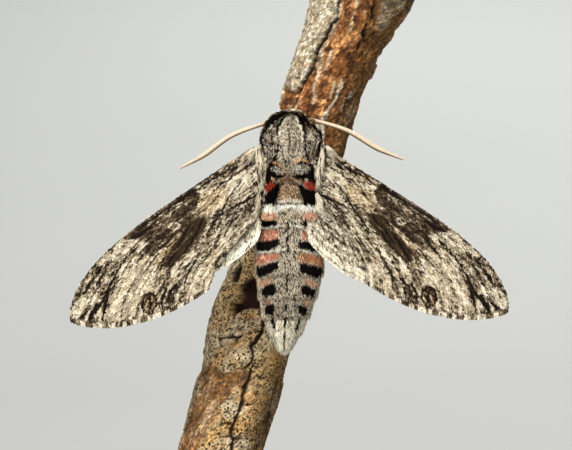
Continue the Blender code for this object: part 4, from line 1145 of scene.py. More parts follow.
WINGS = {
    "forewing_left": dict(plan=FOREWING, side=-1, seat=(-5.1, 2.05), sweep=38.7, inner=(9.5, 2.6), drop=0.0),
    "forewing_right": dict(plan=FOREWING, side=1, seat=(5.3, 2.4), sweep=36.4, inner=(2.5, 4.0), drop=0.0),
    "hindwing_left": dict(plan=HINDWING, side=-1, seat=(-5.1, 0.2), sweep=42.0, inner=(0.0, 0.0), drop=1.02),
    "hindwing_right": dict(plan=HINDWING, side=1, seat=(5.1, 0.0), sweep=47.0, inner=(0.0, 0.0), drop=1.02),
}
SHEET = {"depth": -12.95, "start": 3.2, "slope": 0.17, "curl": 0.0022}
VEIN_RISE = 0.1
VEIN_HALF = 0.16
MEMBRANE = 0.06
MEMBRANE_PAINTED_SHADE = 0.6
UNDER_RISE = 0.6
SCALLOP_HALF = 0.035

# %% Edges of a wing


def leading_edge(wing, u):
    """Bowed leading edge: c = -shoulder (1 + a/L) (1 - (a/L)^p)^q, with a little bend at the root."""
    length = wing["length"]
    a = wing["base"][0] + (length - wing["base"][0]) * u
    share = np.clip(a / length, 0, 1)
    power, close = wing["shoulder_round"]
    c = -wing["shoulder"] * (1 + a / length) * (1 - share**power) ** close
    return beside(a, c + wing["root_bend"] * (np.clip(-a, 0, None) / wing["base"][0]) ** 2)


def inner_edge(wing, inner, u):
    """Inner edge: a straight run, plus a bow like the root of u near the base and a flare like u^6."""
    (a1, c1), a0, c0 = wing["tornus"], wing["base"][1], wing["inner_base"]
    bow, flare = inner
    return beside(a0 + (a1 - a0) * u, c0 + (c1 - c0 - bow - flare) * u + bow * np.sqrt(u) + flare * u**6)


def outer_margin(wing, t):
    """Outer margin: the chord from apex to tornus, bulged by t^0.8 (1 - t)."""
    apex, tornus = np.array([wing["length"], 0.0]), np.array(wing["tornus"])
    chord = tornus - apex
    outward = np.array([chord[1], -chord[0]]) / np.linalg.norm(chord)
    t = t[..., None]
    return apex + chord * t + outward * wing["margin_bulge"] * t**0.8 * (1 - t)


def wing_plan(wing, inner_shape, u, t, crenulation=0.0):
    """The two long edges blended by t, plus the two short ones blended by u, less the four corners."""
    lead, inner, margin = leading_edge(wing, u), inner_edge(wing, inner_shape, u), outer_margin(wing, t)
    start, end = leading_edge(wing, np.zeros(1))[0], inner_edge(wing, inner_shape, np.zeros(1))[0]
    apex, tornus = np.array([wing["length"], 0.0]), np.array(wing["tornus"])
    u1, t1 = u[..., None], t[..., None]
    patch = (1 - t1) * lead + t1 * inner + (1 - u1) * (start + (end - start) * t1) + u1 * margin
    patch = patch - (1 - u1) * ((1 - t1) * start + t1 * end) - u1 * ((1 - t1) * apex + t1 * tornus)
    outward = unit(margin - tornus * 0.6)
    return patch + outward * (crenulation * np.clip((u - 0.9) / 0.1, 0, 1))[..., None]

# %% Veins


def vein_lines(wing, u):
    """Where each vein lies across the wing at a share u of its length, and how far it has risen."""
    start, end, rises = np.array(wing["veins"]).T
    spread = ramp(0.08, 0.88, u)[..., None]
    return start + (end - start) * spread, np.clip((u[..., None] - rises) / 0.12 + 0.5, 0, 1)


def vein_height(wing, u, t, breadth):
    """The highest of the bells that stand on the veins; breadth is the wing's width in millimetres there."""
    lines, risen = vein_lines(wing, u)
    away = (t[..., None] - lines) * breadth[..., None] / VEIN_HALF
    return (risen * np.exp(-(away**2))).max(axis=-1) + np.exp(-((t * breadth / (2 * VEIN_HALF)) ** 2))

# %% Wings in the frame


def laid_out(name, plan, off=0.0):
    """A plan's place in the frame: turned by the sweep, on a sheet that slopes and curls, or off it."""
    seat = WINGS[name]
    turn = math.radians(seat["sweep"])
    x = seat["seat"][0] + seat["side"] * (plan[..., 0] * math.cos(turn) - plan[..., 1] * math.sin(turn))
    z = WAIST_Z + seat["seat"][1] - plan[..., 0] * math.sin(turn) - plan[..., 1] * math.cos(turn)
    out = np.abs(x) - SHEET["start"]
    y = SHEET["depth"] + SHEET["slope"] * out + SHEET["curl"] * out * np.abs(out)
    return beside(x, y - off, z)


def wing_place(name, u, t, off=0.0):
    """A place on a wing in the frame and on its plan; the margin is drawn in a little between the veins."""
    seat = WINGS[name]
    lines, risen = vein_lines(seat["plan"], u)
    near = (risen * np.exp(-(((t[..., None] - lines) / SCALLOP_HALF) ** 2))).max(axis=-1)
    plan = wing_plan(seat["plan"], seat["inner"], u, t, (near - 0.5) * seat["plan"]["scallop"])
    return laid_out(name, plan, off - seat["drop"]), plan


print("forewing tip:", wing_place("forewing_left", np.ones(1), np.zeros(1))[0].round(1), "mm")

# %% [markdown]
# ## Markings of the wings
# The forewing is bark in small: grey and tan, streaked along its veins, with a dark patch on its leading
# edge, an olive wedge with two black streaks, pale wedges, a long black streak below the apex and a zigzag
# that ends in it. Both wings carry the same drawing, so the right wing's places are read off the left
# wing's picture. The hindwing is cream with brown bands that follow its margin.

# %% Forewing marks
FOREWING_MARKS = (
    ("patch", "frost", (3, 266, 156, 246, 158, 236, 164, 222, 176, 212, 186, 205, 184, 197, 192, 202, 204,
        214, 214, 226, 206, 240, 198, 268, 192)),
    ("patch", "stone", (2, 240, 160, 228, 168, 214, 178, 202, 187, 206, 192, 220, 184, 236, 174, 250, 168)),
    ("patch", "tan", (2, 228, 184, 214, 190, 201, 195, 197, 204, 202, 213, 212, 214, 222, 207, 231, 196)),
    ("patch", "grey", (3, 268, 192, 246, 198, 228, 208, 219, 222, 214, 240, 222, 256, 244, 246, 268, 228)),
    ("patch", "panel", (2, 264, 192, 248, 198, 236, 205, 222, 214, 228, 224, 240, 216, 250, 210, 264, 202)),
    ("patch", "stone", (2, 224, 210, 206, 216, 199, 232, 190, 252, 180, 270, 196, 270, 210, 252, 220, 236)),
    ("patch", "cloud",
        (1.6, 196, 188, 201, 197, 198, 206, 191, 212, 184, 220, 176, 225, 164, 226, 154, 233, 146, 243, 138,
         247, 130, 242, 124, 238, 134, 228, 148, 216, 166, 204, 182, 194),
        (1.4, 202, 210, 190, 215, 178, 222, 168, 230, 157, 237, 148, 245, 146, 253, 153, 256, 162, 249, 172,
         241, 182, 231, 194, 222),
        (1.2, 196, 190, 184, 197, 168, 207, 150, 219, 134, 232, 140, 238, 152, 230, 166, 222, 182, 212, 196,
         204),
        (1.2, 176, 222, 164, 226, 152, 234, 142, 243, 141, 250, 150, 248, 160, 241, 172, 232)),
    ("patch", "buff", (3, 118, 280, 110, 296, 104, 320, 120, 324, 142, 316, 146, 300, 152, 286, 156, 268,
        152, 258, 142, 258, 130, 264)),
    ("patch", "tan", (1.4, 156, 262, 160, 250, 170, 240, 180, 232, 188, 226, 184, 236, 174, 248, 166, 260,
        160, 272)),
    ("patch", "olive", (0.9, 206, 216, 196, 218, 189, 223, 181, 235, 172, 247, 165, 259, 164, 267, 171, 268,
        182, 258, 192, 246, 201, 234, 207, 225)),
    ("patch", "pale", (1.6, 128, 238, 120, 244, 111, 252, 101, 264, 107, 270, 118, 264, 130, 254, 142, 248,
        148, 243, 140, 240)),
    ("patch", "stone", (1.6, 110, 258, 99, 268, 88, 283, 78, 299, 85, 302, 97, 290, 106, 279, 114, 266)),
    ("patch", "pale", (1.4, 76, 298, 69, 312, 71, 323, 82, 321, 92, 306, 88, 298)),
    ("patch", "buff", (2.5, 214, 268, 200, 266, 190, 276, 184, 290, 186, 300, 202, 296, 214, 286)),
    ("patch", "stone",
        (2, 158, 284, 154, 300, 160, 312, 174, 306, 186, 292, 184, 280, 172, 280),
        (1.5, 118, 266, 110, 276, 102, 292, 108, 296, 116, 284, 124, 272)),
    ("patch", "tan_dark", (1, 143, 296, 142, 306, 145, 314, 152, 313, 157, 306, 156, 297, 150, 292)),
    ("patch", "cream",
        (0.6, 153, 266, 157.4, 264, 156, 272, 152.6, 280, 151, 286, 150.8, 277),
        (0.6, 174, 266, 177.6, 261.4, 176.6, 268, 173.2, 275, 171.6, 278, 171.8, 271)),
    ("patch", "pale",
        (0.8, 188, 259, 198, 249, 196, 258, 188, 270, 183, 275),
        (0.8, 201, 236, 208, 226, 206, 236, 199, 246)),
    ("line", "pale", (1.6, 169, 226, 172, 223, 177, 223, 180, 226, 176, 229, 170, 228)),
    ("line", "frost", ((0.6, 1.4, 0.6), 158, 228, 162, 224, 166, 225)),
    ("line", "stone", ((1, 2, 1.4, 0.8), 192, 200, 178, 208, 162, 219, 148, 230)),
    ("line", "frost", ((0.2, 0.5, 0.2), 188, 199, 172, 207.6, 156, 218)),
    ("line", "line",
        ((1.2, 2.6, 2.8, 1.4), 190, 224, 183, 238, 175, 252, 168, 266),
        ((1.4, 2.6, 2.2, 1), 203, 219, 197, 232, 190, 244, 184, 253),
        ((1.2, 2.6, 1.2), 221, 213, 213, 224, 207, 233),
        ((0.6, 1.4, 0.6), 196, 226, 189, 238, 182, 249)),
    ("line", "buff", ((1, 2.2, 1.2), 130, 260, 119, 272, 111, 286)),
    ("line", "line",
        ((1.5, 1.7, 2.2, 2.6, 2.8), 137, 247, 128, 256, 119.5, 268, 112, 282, 107, 293, 102, 303, 97, 309),
        ((0.8, 1.2, 0.8), 130, 262, 122, 272, 118, 281),
        ((2.4, 3.2, 2.8, 2), 91.5, 302.5, 89, 308, 86, 313, 79.5, 319, 73, 323),
        ((3.8, 4.4, 2.6), 97.5, 304.5, 94.5, 311, 91, 317, 88.5, 320),
        ((1.6, 2.6, 2.4), 110.5, 288, 107, 300, 104, 311, 102.5, 320)),
    ("line", "cream",
        ((1.2, 2.2, 1), 99, 288, 95.5, 297, 92, 304),
        ((1, 2, 1), 92, 294, 87, 304),
        ((0.8, 1.8, 0.8), 127, 262, 122, 272, 119, 283)),
    ("line", "pale", ((0.8, 1.6, 0.8), 136, 256, 131, 266, 126, 277)),
    ("line", "line",
        ((1.8, 2.8, 1.6), 144.5, 296, 142.4, 304, 144, 312),
        ((2.2, 2, 1.6), 144.5, 295.5, 150, 292.5, 155.6, 296, 156.6, 304, 153, 311),
        ((1.4, 2.8, 1.4), 149.6, 297, 151, 304, 149, 311),
        ((1.8, 3, 1.4), 167, 288, 163, 297, 161.6, 305),
        ((2, 3.8, 1.8), 177, 283, 171, 291, 167.5, 300),
        ((1.2, 2.2, 1.2), 174, 294, 172, 302),
        ((1, 2, 1.8, 1), 201, 251, 194, 263, 187.6, 276, 184.7, 286),
        ((0.9, 1.5, 1.5), 241.6, 182, 233, 191, 227, 201, 223, 211.6),
        ((1.4, 2.4, 1.4), 266, 190, 250, 198, 240, 203, 230, 209),
        ((1, 1.7, 1.3, 1), 262, 160, 249, 165.4, 236, 174, 221, 188),
        ((0.7, 1.3, 0.7), 232, 178, 222, 184, 213, 190),
        ((1.2, 3, 1.2), 226, 170, 218, 178),
        ((1, 2.2, 1), 214, 177, 205, 184, 198, 190),
        ((1, 2.2, 1), 238, 166, 229, 173),
        ((2.8, 2.4, 1.6, 2.2), 194, 190, 182, 199, 166, 210, 150, 221, 138, 230),
        ((1.6, 3.4, 1.8), 152, 226, 141, 234, 129, 239),
        ((1.2, 2.2, 0.9), 150, 247, 142, 256, 137, 264),
        ((0.9, 1.5, 0.8), 160, 252, 151, 263, 143, 274),
        ((0.8, 1.2, 0.6), 168, 252, 160, 264, 152, 277),
        ((1.6, 2.6, 1), 138, 246, 133, 253),
        ((1.6, 3.2, 1.6), 94, 278, 88, 287, 83, 295),
        ((1.2, 2.6, 1.2), 103, 265, 96, 275),
        ((1, 2.2, 1), 108, 268, 101, 278, 96, 286),
        ((0.9, 1.7, 0.9), 240, 214, 231, 224, 224, 236),
        ((0.9, 1.7, 0.9), 220, 236, 213, 248, 207, 258)),
)
# Beside the abdomen the right forewing is paler than the left one.
INNER_MARKS = (
    ("patch", "pale", (2, 312, 226, 320, 229, 331, 237, 344, 247, 358, 262, 362, 284, 348, 276, 334, 267,
        322, 258, 312, 249, 306, 238)),
    ("patch", "cream", (1.6, 311, 231, 319, 237, 331, 245, 344, 255, 352, 266, 350, 277, 334, 266, 320, 255,
        309, 243)),
    ("patch", "cloud", (1.2, 311, 207, 317, 205.6, 325, 208, 331, 213, 328, 216.6, 320, 213.4, 313, 214)),
    ("patch", "stone", (1.6, 318, 219, 328, 223, 340, 232, 352, 243, 350, 248, 336, 240, 324, 231, 317,
        226)),
    ("line", "umber",
        ((2.4, 0.8), 315, 214, 316, 230),
        ((2.4, 0.8), 321, 215, 323, 236),
        ((2.4, 0.8), 328, 220, 332, 241),
        (0.7, 313, 240, 318, 248),
        (0.7, 321, 243, 327, 254),
        (0.7, 331, 250, 338, 262)),
    ("line", "gold", (0.9, 309, 234.5, 310, 240, 316.8, 248.2, 325, 255.2, 334.2, 263.4, 344, 269.4, 354.6,
        275.6)),
    ("line", "white", (1.5, 307.4, 235, 308.6, 241, 315.4, 249.4, 323.6, 256.6, 332.8, 264.8, 343, 271, 353,
        277)),
)
print(len(FOREWING_MARKS) + len(INNER_MARKS), "forewing marks")

# %% [markdown]
# ## Paint of the wings
# A wing's colour lies in its scales too. The forewing takes the drawn marks, darkens beside its veins and
# ends in a chequered fringe. The hindwing's bands follow its margin, so the distance from the margin sets
# them.

# %% Forewing paint
FRINGE_PERIODS = 10
# Centre, half width and strength, in from the margin, of each brown band of the hindwing.
HINDWING_BANDS = ((0.8, 0.14, 0.7), (3.1, 0.6, 0.85), (4.8, 0.65, 0.9), (7.0, 0.65, 0.9), (9.0, 0.6, 0.9))


def margin_gap(wing, t, plan):
    """Distance in from the outer margin, in millimetres."""
    return np.linalg.norm(outer_margin(wing, t) - plan, axis=-1)


def forewing_paint(name, u, t, plan, under):
    """The ground, the marks, dark lines beside the veins, and a chequered fringe at the margin."""
    wing = WINGS[name]["plan"]
    spots = picture_place(laid_out("forewing_left", plan))
    spots = spots + wobble(spots / 3.0, 41) * 0.8
    paints = layered(PAINT, "grey", ("tan", 0.35 + 0.5 * noise(spots / 9.0, 45, 2)))
    if not under:
        paints = painted(paints, spots, FOREWING_MARKS)
        lines, risen = vein_lines(wing, u)
        lined = (risen * ramp(0.016, 0.006, np.abs(t[:, None] - lines - 0.012))).max(axis=1)
        lined = lined * ramp(-0.2, 0.5, noise(beside(t * 9, u * 12), 48))
        paints = layered(PAINT, paints, ("umber", lined * 0.7))
        if name.endswith("right"):
            paints = painted(paints, picture_place(laid_out(name, plan)), INNER_MARKS)
    edge = margin_gap(wing, t, plan)
    fringe = ramp(0.95, 0.85, edge)
    uneven = noise(beside(t * 17, 0.0), 46)
    dashes = ramp(-0.1, 0.1, np.sin(t * 2 * math.pi * FRINGE_PERIODS + 1.8 * uneven) + 0.4 * uneven)
    return layered(
        PAINT, paints,
        ("umber", ramp(1.3, 1.15, edge) * 0.35), ("cream", fringe * 0.85), ("umber", fringe * dashes * 0.95),
    )

# %% Hindwing paint


def hindwing_paint(name, u, t, plan, under):
    """Cream, with brown bands at set distances in from the margin, wavy across the veins. Where the wing
    shows beside the body, the bands fade, and veins, streaks and a gold line inside the rim are seen."""
    wing = WINGS[name]["plan"]
    edge = margin_gap(wing, t, plan)
    wave = noise(beside(t * 22.0, u * 2.0), 51) * 0.55 + noise(beside(t * 60, u * 5), 52) * 0.3
    lanes = noise(beside(t * 46.0, u * 7.0), 53)
    shown = name.endswith("left") and not under
    # Where it shows, the ground is ivory rather than cream: partly its own paler colour, partly painted light
    # that lifts it out of the forewing's shadow.
    ground, fade = ("ivory", 0.3) if shown else ("cream", 1.0)
    paints = layered(PAINT, ground, ("pale", 0.1 + 0.2 * lanes), ("grey", ramp(3.2, 6.5, edge) * 0.55))
    for centre, half, strength in HINDWING_BANDS:
        band = 1 - ramp(half * 0.6, half * 1.3, np.abs(edge + wave * half * 1.4 - centre))
        paints = layered(PAINT, paints, ("umber", band * strength * (0.75 + 0.25 * lanes) * fade))
    if shown:
        lines, risen = vein_lines(wing, u)
        vein = (risen * ramp(0.01, 0.004, np.abs(t[:, None] - lines))).max(axis=1)
        streak = ramp(-0.05, 0.2, noise(beside(t * 44.0, u * 3.0), 54)) * ramp(1.2, 4.5, edge)
        rim = ramp(0.16, 0.06, np.abs(edge - 0.62))
        paints = layered(PAINT, paints, ("umber", np.maximum(vein * 0.6, streak * 0.8)), ("gold", rim * 0.7))
    return layered(PAINT, paints, (ground, ramp(0.5, 0.42, edge)))


def wing_tints(name, u, t, plan, under, seed=47, own=0.45):
    """The paint of each place, dusted with dark and pale scales in streaks along the wing, in a finer grain
    and by chance."""
    wide = noise(beside(t * 17.0, plan[:, 0] / 3.2), seed)
    narrow = noise(beside(t * 46.0, plan[:, 0] / 2.2), seed + 1)
    streaks = wide + (narrow - wide) * ramp(0.15, 0.6, u)
    grain = noise(plan / (0.62, 0.26), seed + 2) + 0.5 * noise(plan / 0.3, seed + 3)
    chance = np.random.default_rng(seed).normal(0, 1, len(u))
    paint_of = forewing_paint if name.startswith("fore") else hindwing_paint
    return dusted(paint_of(name, u, t, plan, under), order_of(0.85 * streaks + 0.9 * grain + own * chance))

# %% [markdown]
# ## Membranes and scales
# The membrane is the same surface twice, a hair's breadth apart, joined round its rim. The scales lie on it
# like tiles, each about half a millimetre long: one flat six-cornered solid with a raised middle, so that
# it catches the light. Real scales are smaller, but these have the size of the grain that shows in a
# photograph.

# %% Membranes


def wing_grid(name, rows, columns):
    """An even grid of u and t, and how far the veins rise there."""
    u, t = np.meshgrid(np.linspace(0, 1, rows), np.linspace(0, 1, columns), indexing="ij")
    first, last = (wing_place(name, u, side + 0 * u)[0] for side in (0.0, 1.0))
    breadth = np.linalg.norm(last - first, axis=-1)
    return u, t, vein_height(WINGS[name]["plan"], u, t, breadth) * np.clip(u / 0.12, 0, 1)


def wing_chart(u, t, under):
    """The wing unrolled: its upper side on the left half of the map, its underside on the right half."""
    return beside(0.02 + 0.46 * u + (0.5 if under else 0.0), 0.02 + 0.96 * t)

# %% Two faces and a rim


def make_membrane(name, rows=100, columns=64):
    """Two copies of the wing's surface, front and back, joined all round; veins rise on both."""
    u, t, ridge = wing_grid(name, rows, columns)
    front, plan = wing_place(name, u, t, MEMBRANE + VEIN_RISE * ridge)
    back, _ = wing_place(name, u, t, -MEMBRANE - VEIN_RISE * ridge * UNDER_RISE)
    points = np.concatenate([front.reshape(-1, 3), back.reshape(-1, 3)])
    faces = grid_faces(rows, columns)
    size = rows * columns
    rim = np.concatenate([
        np.arange(columns),
        np.arange(1, rows) * columns + columns - 1,
        (rows - 1) * columns + np.arange(columns - 2, -1, -1),
        np.arange(rows - 2, 0, -1) * columns,
    ])
    after = np.roll(rim, -1)
    wall = [beside(rim, rim + size, after + size), beside(rim, after + size, after)]
    sheet = np.concatenate([faces, faces[:, ::-1] + size, *wall])
    if point_normals(points[:size], faces)[:, 1].mean() > 0:
        sheet = sheet[:, ::-1]
    u, t, plan = u.ravel(), t.ravel(), plan.reshape(-1, 2)
    tints = np.concatenate([wing_tints(name, u, t, plan, under) for under in (False, True)])
    # Painted shade: the membrane under the scales is darkened, as if the scales shade it.
    tints = tints * MEMBRANE_PAINTED_SHADE
    chart = np.concatenate([wing_chart(u, t, under) for under in (False, True)])
    made = make_piece(f"membrane_{name}", points, sheet, membrane_finish, "wing", tints, chart)
    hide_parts(name)


for wing_name in WINGS:
    make_membrane(wing_name)

# %% Scales on the wings


def wing_coat(name, count, seed, under, length, width, rows=90, columns=60):
    """Roots scattered over the wing by area; each scale lies along the wing, from root to margin."""
    wing = WINGS[name]["plan"]
    u, t, ridge = wing_grid(name, rows, columns)
    rise = MEMBRANE + VEIN_RISE * ridge * (UNDER_RISE if under else 1.0)
    points, plan = wing_place(name, u, t, -rise if under else rise)
    along, across = unit(np.gradient(points, axis=0)), unit(np.gradient(points, axis=1))
    normal = unit(np.cross(along, across))
    normal = np.where(normal[..., 1:2] > 0, -normal, normal) * (-1 if under else 1)
    corners, shares = scatter(points.reshape(-1, 3), grid_faces(rows, columns), count, seed)
    grids = (values.reshape(rows * columns, -1) for values in (points, normal, along, u, t, plan))
    root, out, along, u, t, plan = (read_at(values, corners, shares) for values in grids)
    out, u, t = unit(out), u[:, 0], t[:, 0]
    dice = np.random.default_rng(seed + 1)
    lie = flat_on(out, along + dice.normal(0.0, 0.1, (count, 3)))
    long = np.minimum(dice.uniform(*length, count), margin_gap(wing, t, plan) + 0.1)
    u_seen = np.clip(u + 0.4 * long / wing["length"], 0, 1)
    plan_seen = wing_plan(wing, WINGS[name]["inner"], u_seen, t)
    return {
        "root": root, "lie": lie, "out": out, "length": long, "lift": np.radians(dice.uniform(3, 11, count)),
        "bend": dice.normal(0.0, 0.08, count), "droop": np.full(count, 0.03),
        "width": dice.uniform(*width, count), "height": dice.uniform(0.02, 0.05, count),
        "tint": wing_tints(name, u_seen, t, plan_seen, under), "chart": wing_chart(u, t, under),
        "root_shade": 0.7,
    }

# %% Both layers of scales
# Name, underside or not, least and most length and width, and the counts on a forewing and a hindwing.
SCALE_LAYERS = (
    ("scales_", False, (0.32, 0.62), (0.14, 0.24), {"fore": 21500, "hind": 6000}),
    ("scales_under_", True, (0.55, 0.95), (0.32, 0.48), {"fore": 3800, "hind": 2600}),
)
for order, wing_name in enumerate(WINGS):
    for layer, (start, under, length, width, counts) in enumerate(SCALE_LAYERS):
        seed = 400 + 20 * order + 10 * layer
        coat = wing_coat(wing_name, counts[wing_name[:4]], seed, under, length, width)
        grow_coat(start + wing_name, SCALE, coat, scale_finish, "wing")

# %% [markdown]
# ## Tubes: feelers, tongue and legs
# Feelers, tongue and legs are round sections carried along a line. The section's two directions are found
# once per point, from the line's own direction and a fixed side, so the tube never twists. Rings come from
# a radius that rises and falls along the line.

# %% Tube tools


def through_corners(corners, count):
    """A smooth line through corner points, read at an even number of places, by chord length."""
    corners = np.array(corners, float)
    reach = np.concatenate([[0.0], np.cumsum(np.linalg.norm(np.diff(corners, axis=0), axis=1))])
    return smooth_through(np.column_stack([reach, corners]), np.linspace(0, reach[-1], count))


def tube(line, radii, sides, aside=(0.0, 1.0, 0.0)):
    """Circles round each point of a line: point + radius (cos a * first side + sin a * second side). Gives
    points, faces, and each point's share of the line and angle."""
    ahead = unit(np.gradient(line, axis=0))
    first = unit(np.cross(ahead, aside))
    second = np.cross(ahead, first)
    angle = np.linspace(0, 2 * math.pi, sides, endpoint=False)
    ring = np.cos(angle)[None, :, None] * first[:, None] + np.sin(angle)[None, :, None] * second[:, None]
    points, faces = capped(line[:, None] + radii[:, None, None] * ring, line[[0, -1]])
    share = np.concatenate([np.repeat(np.linspace(0, 1, len(line)), sides), [0.0, 1.0]])
    return points, faces, share, np.concatenate([np.tile(angle, len(line)), [0.0, 0.0]])


print("a tube of 5 rings has", len(tube(np.eye(5, 3).cumsum(axis=0), np.ones(5), 8)[1]), "triangles")

# %% [markdown]
# ## Feelers
# A hawk-moth's feeler is a stout brown rod of many short rings that thins to its tip. Where it faces up and
# back it is painted pale, as painted light from above. Separate rings would be thinner than a hair here, so
# they are waves in the rod's radius.

# %% Feelers
FEELERS = {
    "left": (
        (-2.2, -8.3, 11.5), (-4.2, -9.0, 10.9), (-10.8, -9.9, 8.5), (-16.4, -9.6, 4.55), (-20.3, -9.0, 2.4),
    ),
    "right": (
        (2.2, -8.3, 11.6), (3.8, -9.0, 11.3), (10.1, -9.9, 9.4), (16.1, -9.6, 6.0), (20.9, -9.0, 4.0),
    ),
}
FEELER_RADII = (0.36, 0.38, 0.5, 0.52, 0.18)
FEELER_RINGS = 74
RING_POINTS = 6

feeler_finish = coat_finish("feeler_scales", 0.6, 0.2, 0.25)
for side_name, corners in FEELERS.items():
    places = [(x + axis_x(along), y, WAIST_Z + along) for x, y, along in corners]
    line = through_corners(places, FEELER_RINGS * RING_POINTS)
    share = np.linspace(0, 1, len(line))
    ring = np.abs(np.sin(share * math.pi * FEELER_RINGS))
    radii = evenly(FEELER_RADII, share) * 0.96 * (0.9 + 0.12 * ring**0.4)
    points, faces, where, _ = tube(line, radii, 18)
    normals = point_normals(points, faces)
    # Painted light: the side that faces up and back, towards the lamps, is painted pale over the brown.
    lit = ramp(-0.25, 0.35, normals[:, 2] * 0.8 - normals[:, 1] * 0.4)
    tints = mixed((0.2, 0.115, 0.05), (0.57, 0.47, 0.34), lit)
    gap = ramp(0.35, 0.0, np.abs(np.sin(where * math.pi * FEELER_RINGS)))
    tints = mixed(tints, tints * 0.6, gap * 0.8)
    tints = mixed(tints, tints * (0.75, 0.6, 0.42), ramp(0.3, 0.0, where) * 0.5)
    tints = tints * (1 + 0.12 * noise(points / 0.25, 61))[:, None]
    feeler = make_piece(f"feeler_{side_name}", points, faces, feeler_finish, "feeler", tints)
    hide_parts(f"antenna_{side_name}")

# %% [markdown]
# ## Tongue
# At rest the long tongue is coiled like a watch spring below the head. A spiral line whose radius shrinks
# evenly gives the coil, and a short straight run joins it to the mouth.

# %% Tongue
TONGUE = {"centre": (-2.2, 11.5), "start": 144.0, "outer": 1.3, "inner": 0.4, "turns": 1.5, "radius": 0.2}
MOUTH = (-4.4, 10.6)
angle = math.radians(TONGUE["start"]) - np.linspace(0, 1, 300) * TONGUE["turns"] * 2 * math.pi
spiral = np.linspace(TONGUE["outer"], TONGUE["inner"], 300)
tongue_along = TONGUE["centre"][1] + spiral * np.sin(angle)
coil = beside(axis_x(tongue_along), TONGUE["centre"][0] + spiral * np.cos(angle), WAIST_Z + tongue_along)
mouth = np.array([axis_x(MOUTH[1]), MOUTH[0], WAIST_Z + MOUTH[1]])
lead_in = mouth + (coil[0] - mouth) * np.linspace(0, 1, 60, endpoint=False)[:, None]
line = np.concatenate([lead_in, coil])
share = np.linspace(0, 1, len(line))
radii = TONGUE["radius"] * (1 - 0.3 * share) * (0.92 + 0.08 * np.abs(np.sin(share * math.pi * 90)))
points, faces, _, turn = tube(line, radii, 16, aside=(1.0, 0.0, 0.0))
tongue_tint = np.array((0.16, 0.07, 0.025)) * (1 + 0.25 * np.cos(turn)[:, None])
tongue_finish, tree, shader = new_finish("tongue_horn", Roughness=0.34, Specular_IOR_Level=0.5)
grain = noise_value(tree, object_place(tree), 3000.0)
steps = colour_steps(tree, grain, ((0.3, (0.8, 0.8, 0.8)), (0.7, (1.0, 1.0, 1.0))))
tree.links.new(multiply_colour(tree, attribute_colour(tree), steps), shader.inputs["Base Color"])
tongue = make_piece("tongue", points, faces, tongue_finish, "tongue", tongue_tint)
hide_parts("proboscis")

# %% [markdown]
# ## Eyes
# A hawk-moth's eye is a dark glossy dome of thousands of six-sided lenses. The dome is a sphere; the lenses
# are cells in its bump and colour, because they are too fine to model.

# %% Eyes
EYE = {"radius": 1.6, "across": 2.5, "depth": -6.0, "along": 10.8}


def sphere(centre, radius, rows, sides):
    """Points at radius times (sin d cos a, sin d sin a, cos d), with a single point at each pole."""
    down = np.linspace(0, math.pi, rows + 2)[1:-1][:, None]
    turn = np.linspace(0, 2 * math.pi, sides, endpoint=False)[None, :]
    rings = beside(np.sin(down) * np.cos(turn), np.sin(down) * np.sin(turn), np.cos(down))
    points, faces = capped(rings, [(0, 0, 1), (0, 0, -1)])
    return points * radius + centre, faces


eye_finish, tree, shader = new_finish("eye_lenses", Roughness=0.25, Specular_IOR_Level=0.6, Coat_Weight=0.25)
cells = add_node(tree, "TexVoronoi", Scale=9000.0)
tree.links.new(object_place(tree), cells.inputs["Vector"])
LENS_TONES = ((0.0, (0.075, 0.045, 0.02)), (0.6, (0.02, 0.012, 0.006)))
lens_colour = colour_steps(tree, cells.outputs["Distance"], LENS_TONES)
tree.links.new(lens_colour, shader.inputs["Base Color"])
bump_from(tree, shader, cells.outputs["Distance"], 0.4, 0.00003)
for side_name, side in (("left", -1), ("right", 1)):
    centre = (axis_x(EYE["along"]) + side * EYE["across"], EYE["depth"], WAIST_Z + EYE["along"])
    points, faces = sphere(centre, EYE["radius"], 48, 64)
    eye = make_piece(f"lens_{side_name}", points, faces, eye_finish, "eye")
    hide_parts(f"eye_{side_name}")

# %% [markdown]
# ## The branch
# The perch is a dead branch whose bark has dried and cracked into plates. Above the moth it is red-brown
# and fibrous with pale lichen along one side; below it is tan, plated and dotted with black. Its radius is
# a sum of waves and swellings, as in the CAD, and the looks add cracks, plates, lichen crust and a hollow
# where bark has dropped off, all as height on one fine grid, so that the relief is real from every side.

# %% Branch form
PERCH = {
    "radius": 8.0, "taper": 0.0009, "lean": math.tan(math.radians(16.1)), "height": 92.6,
    "foot": (-14.0, 9.2, 21.6),
}
PERCH_SPOTS = (
    {"height": 92.0, "angle": 88.0, "swell": 4.2, "tall": 9.0, "wide": 42.0},
    {"height": 35.0, "angle": -28.0, "swell": -1.4, "tall": 4.2, "wide": 20.0},
    {"height": 31.0, "angle": -84.0, "swell": 1.3, "tall": 9.0, "wide": 38.0},
)


def perch_radius(height, angle):
    """The branch's radius: three waves round and along it, a slight taper, and its swellings."""
    waves = 0.022 * np.sin(3 * angle + 0.11 * height) + 0.016 * np.sin(5 * angle - 0.17 * height + 1.3)
    waves = waves + 0.014 * np.sin(0.31 * height + 2 * angle)
    total = PERCH["radius"] * (1 + waves - PERCH["taper"] * height)
    for spot in PERCH_SPOTS:
        turn = (np.degrees(angle) - spot["angle"] + 180.0) % 360.0 - 180.0
        away = ((height - spot["height"]) / spot["tall"]) ** 2 + (turn / spot["wide"]) ** 2
        total = total + spot["swell"] * np.exp(-away)
    return total


def perch_point(height, angle, lift=0.0):
    """A point on the leaning branch: level sections are stretched by the lean."""
    radius = perch_radius(height, angle) + lift
    stretch = math.hypot(1.0, PERCH["lean"])
    x, y, z = PERCH["foot"]
    x = x + PERCH["lean"] * height + radius * stretch * np.sin(angle)
    return beside(x, y - radius * np.cos(angle), z + height)
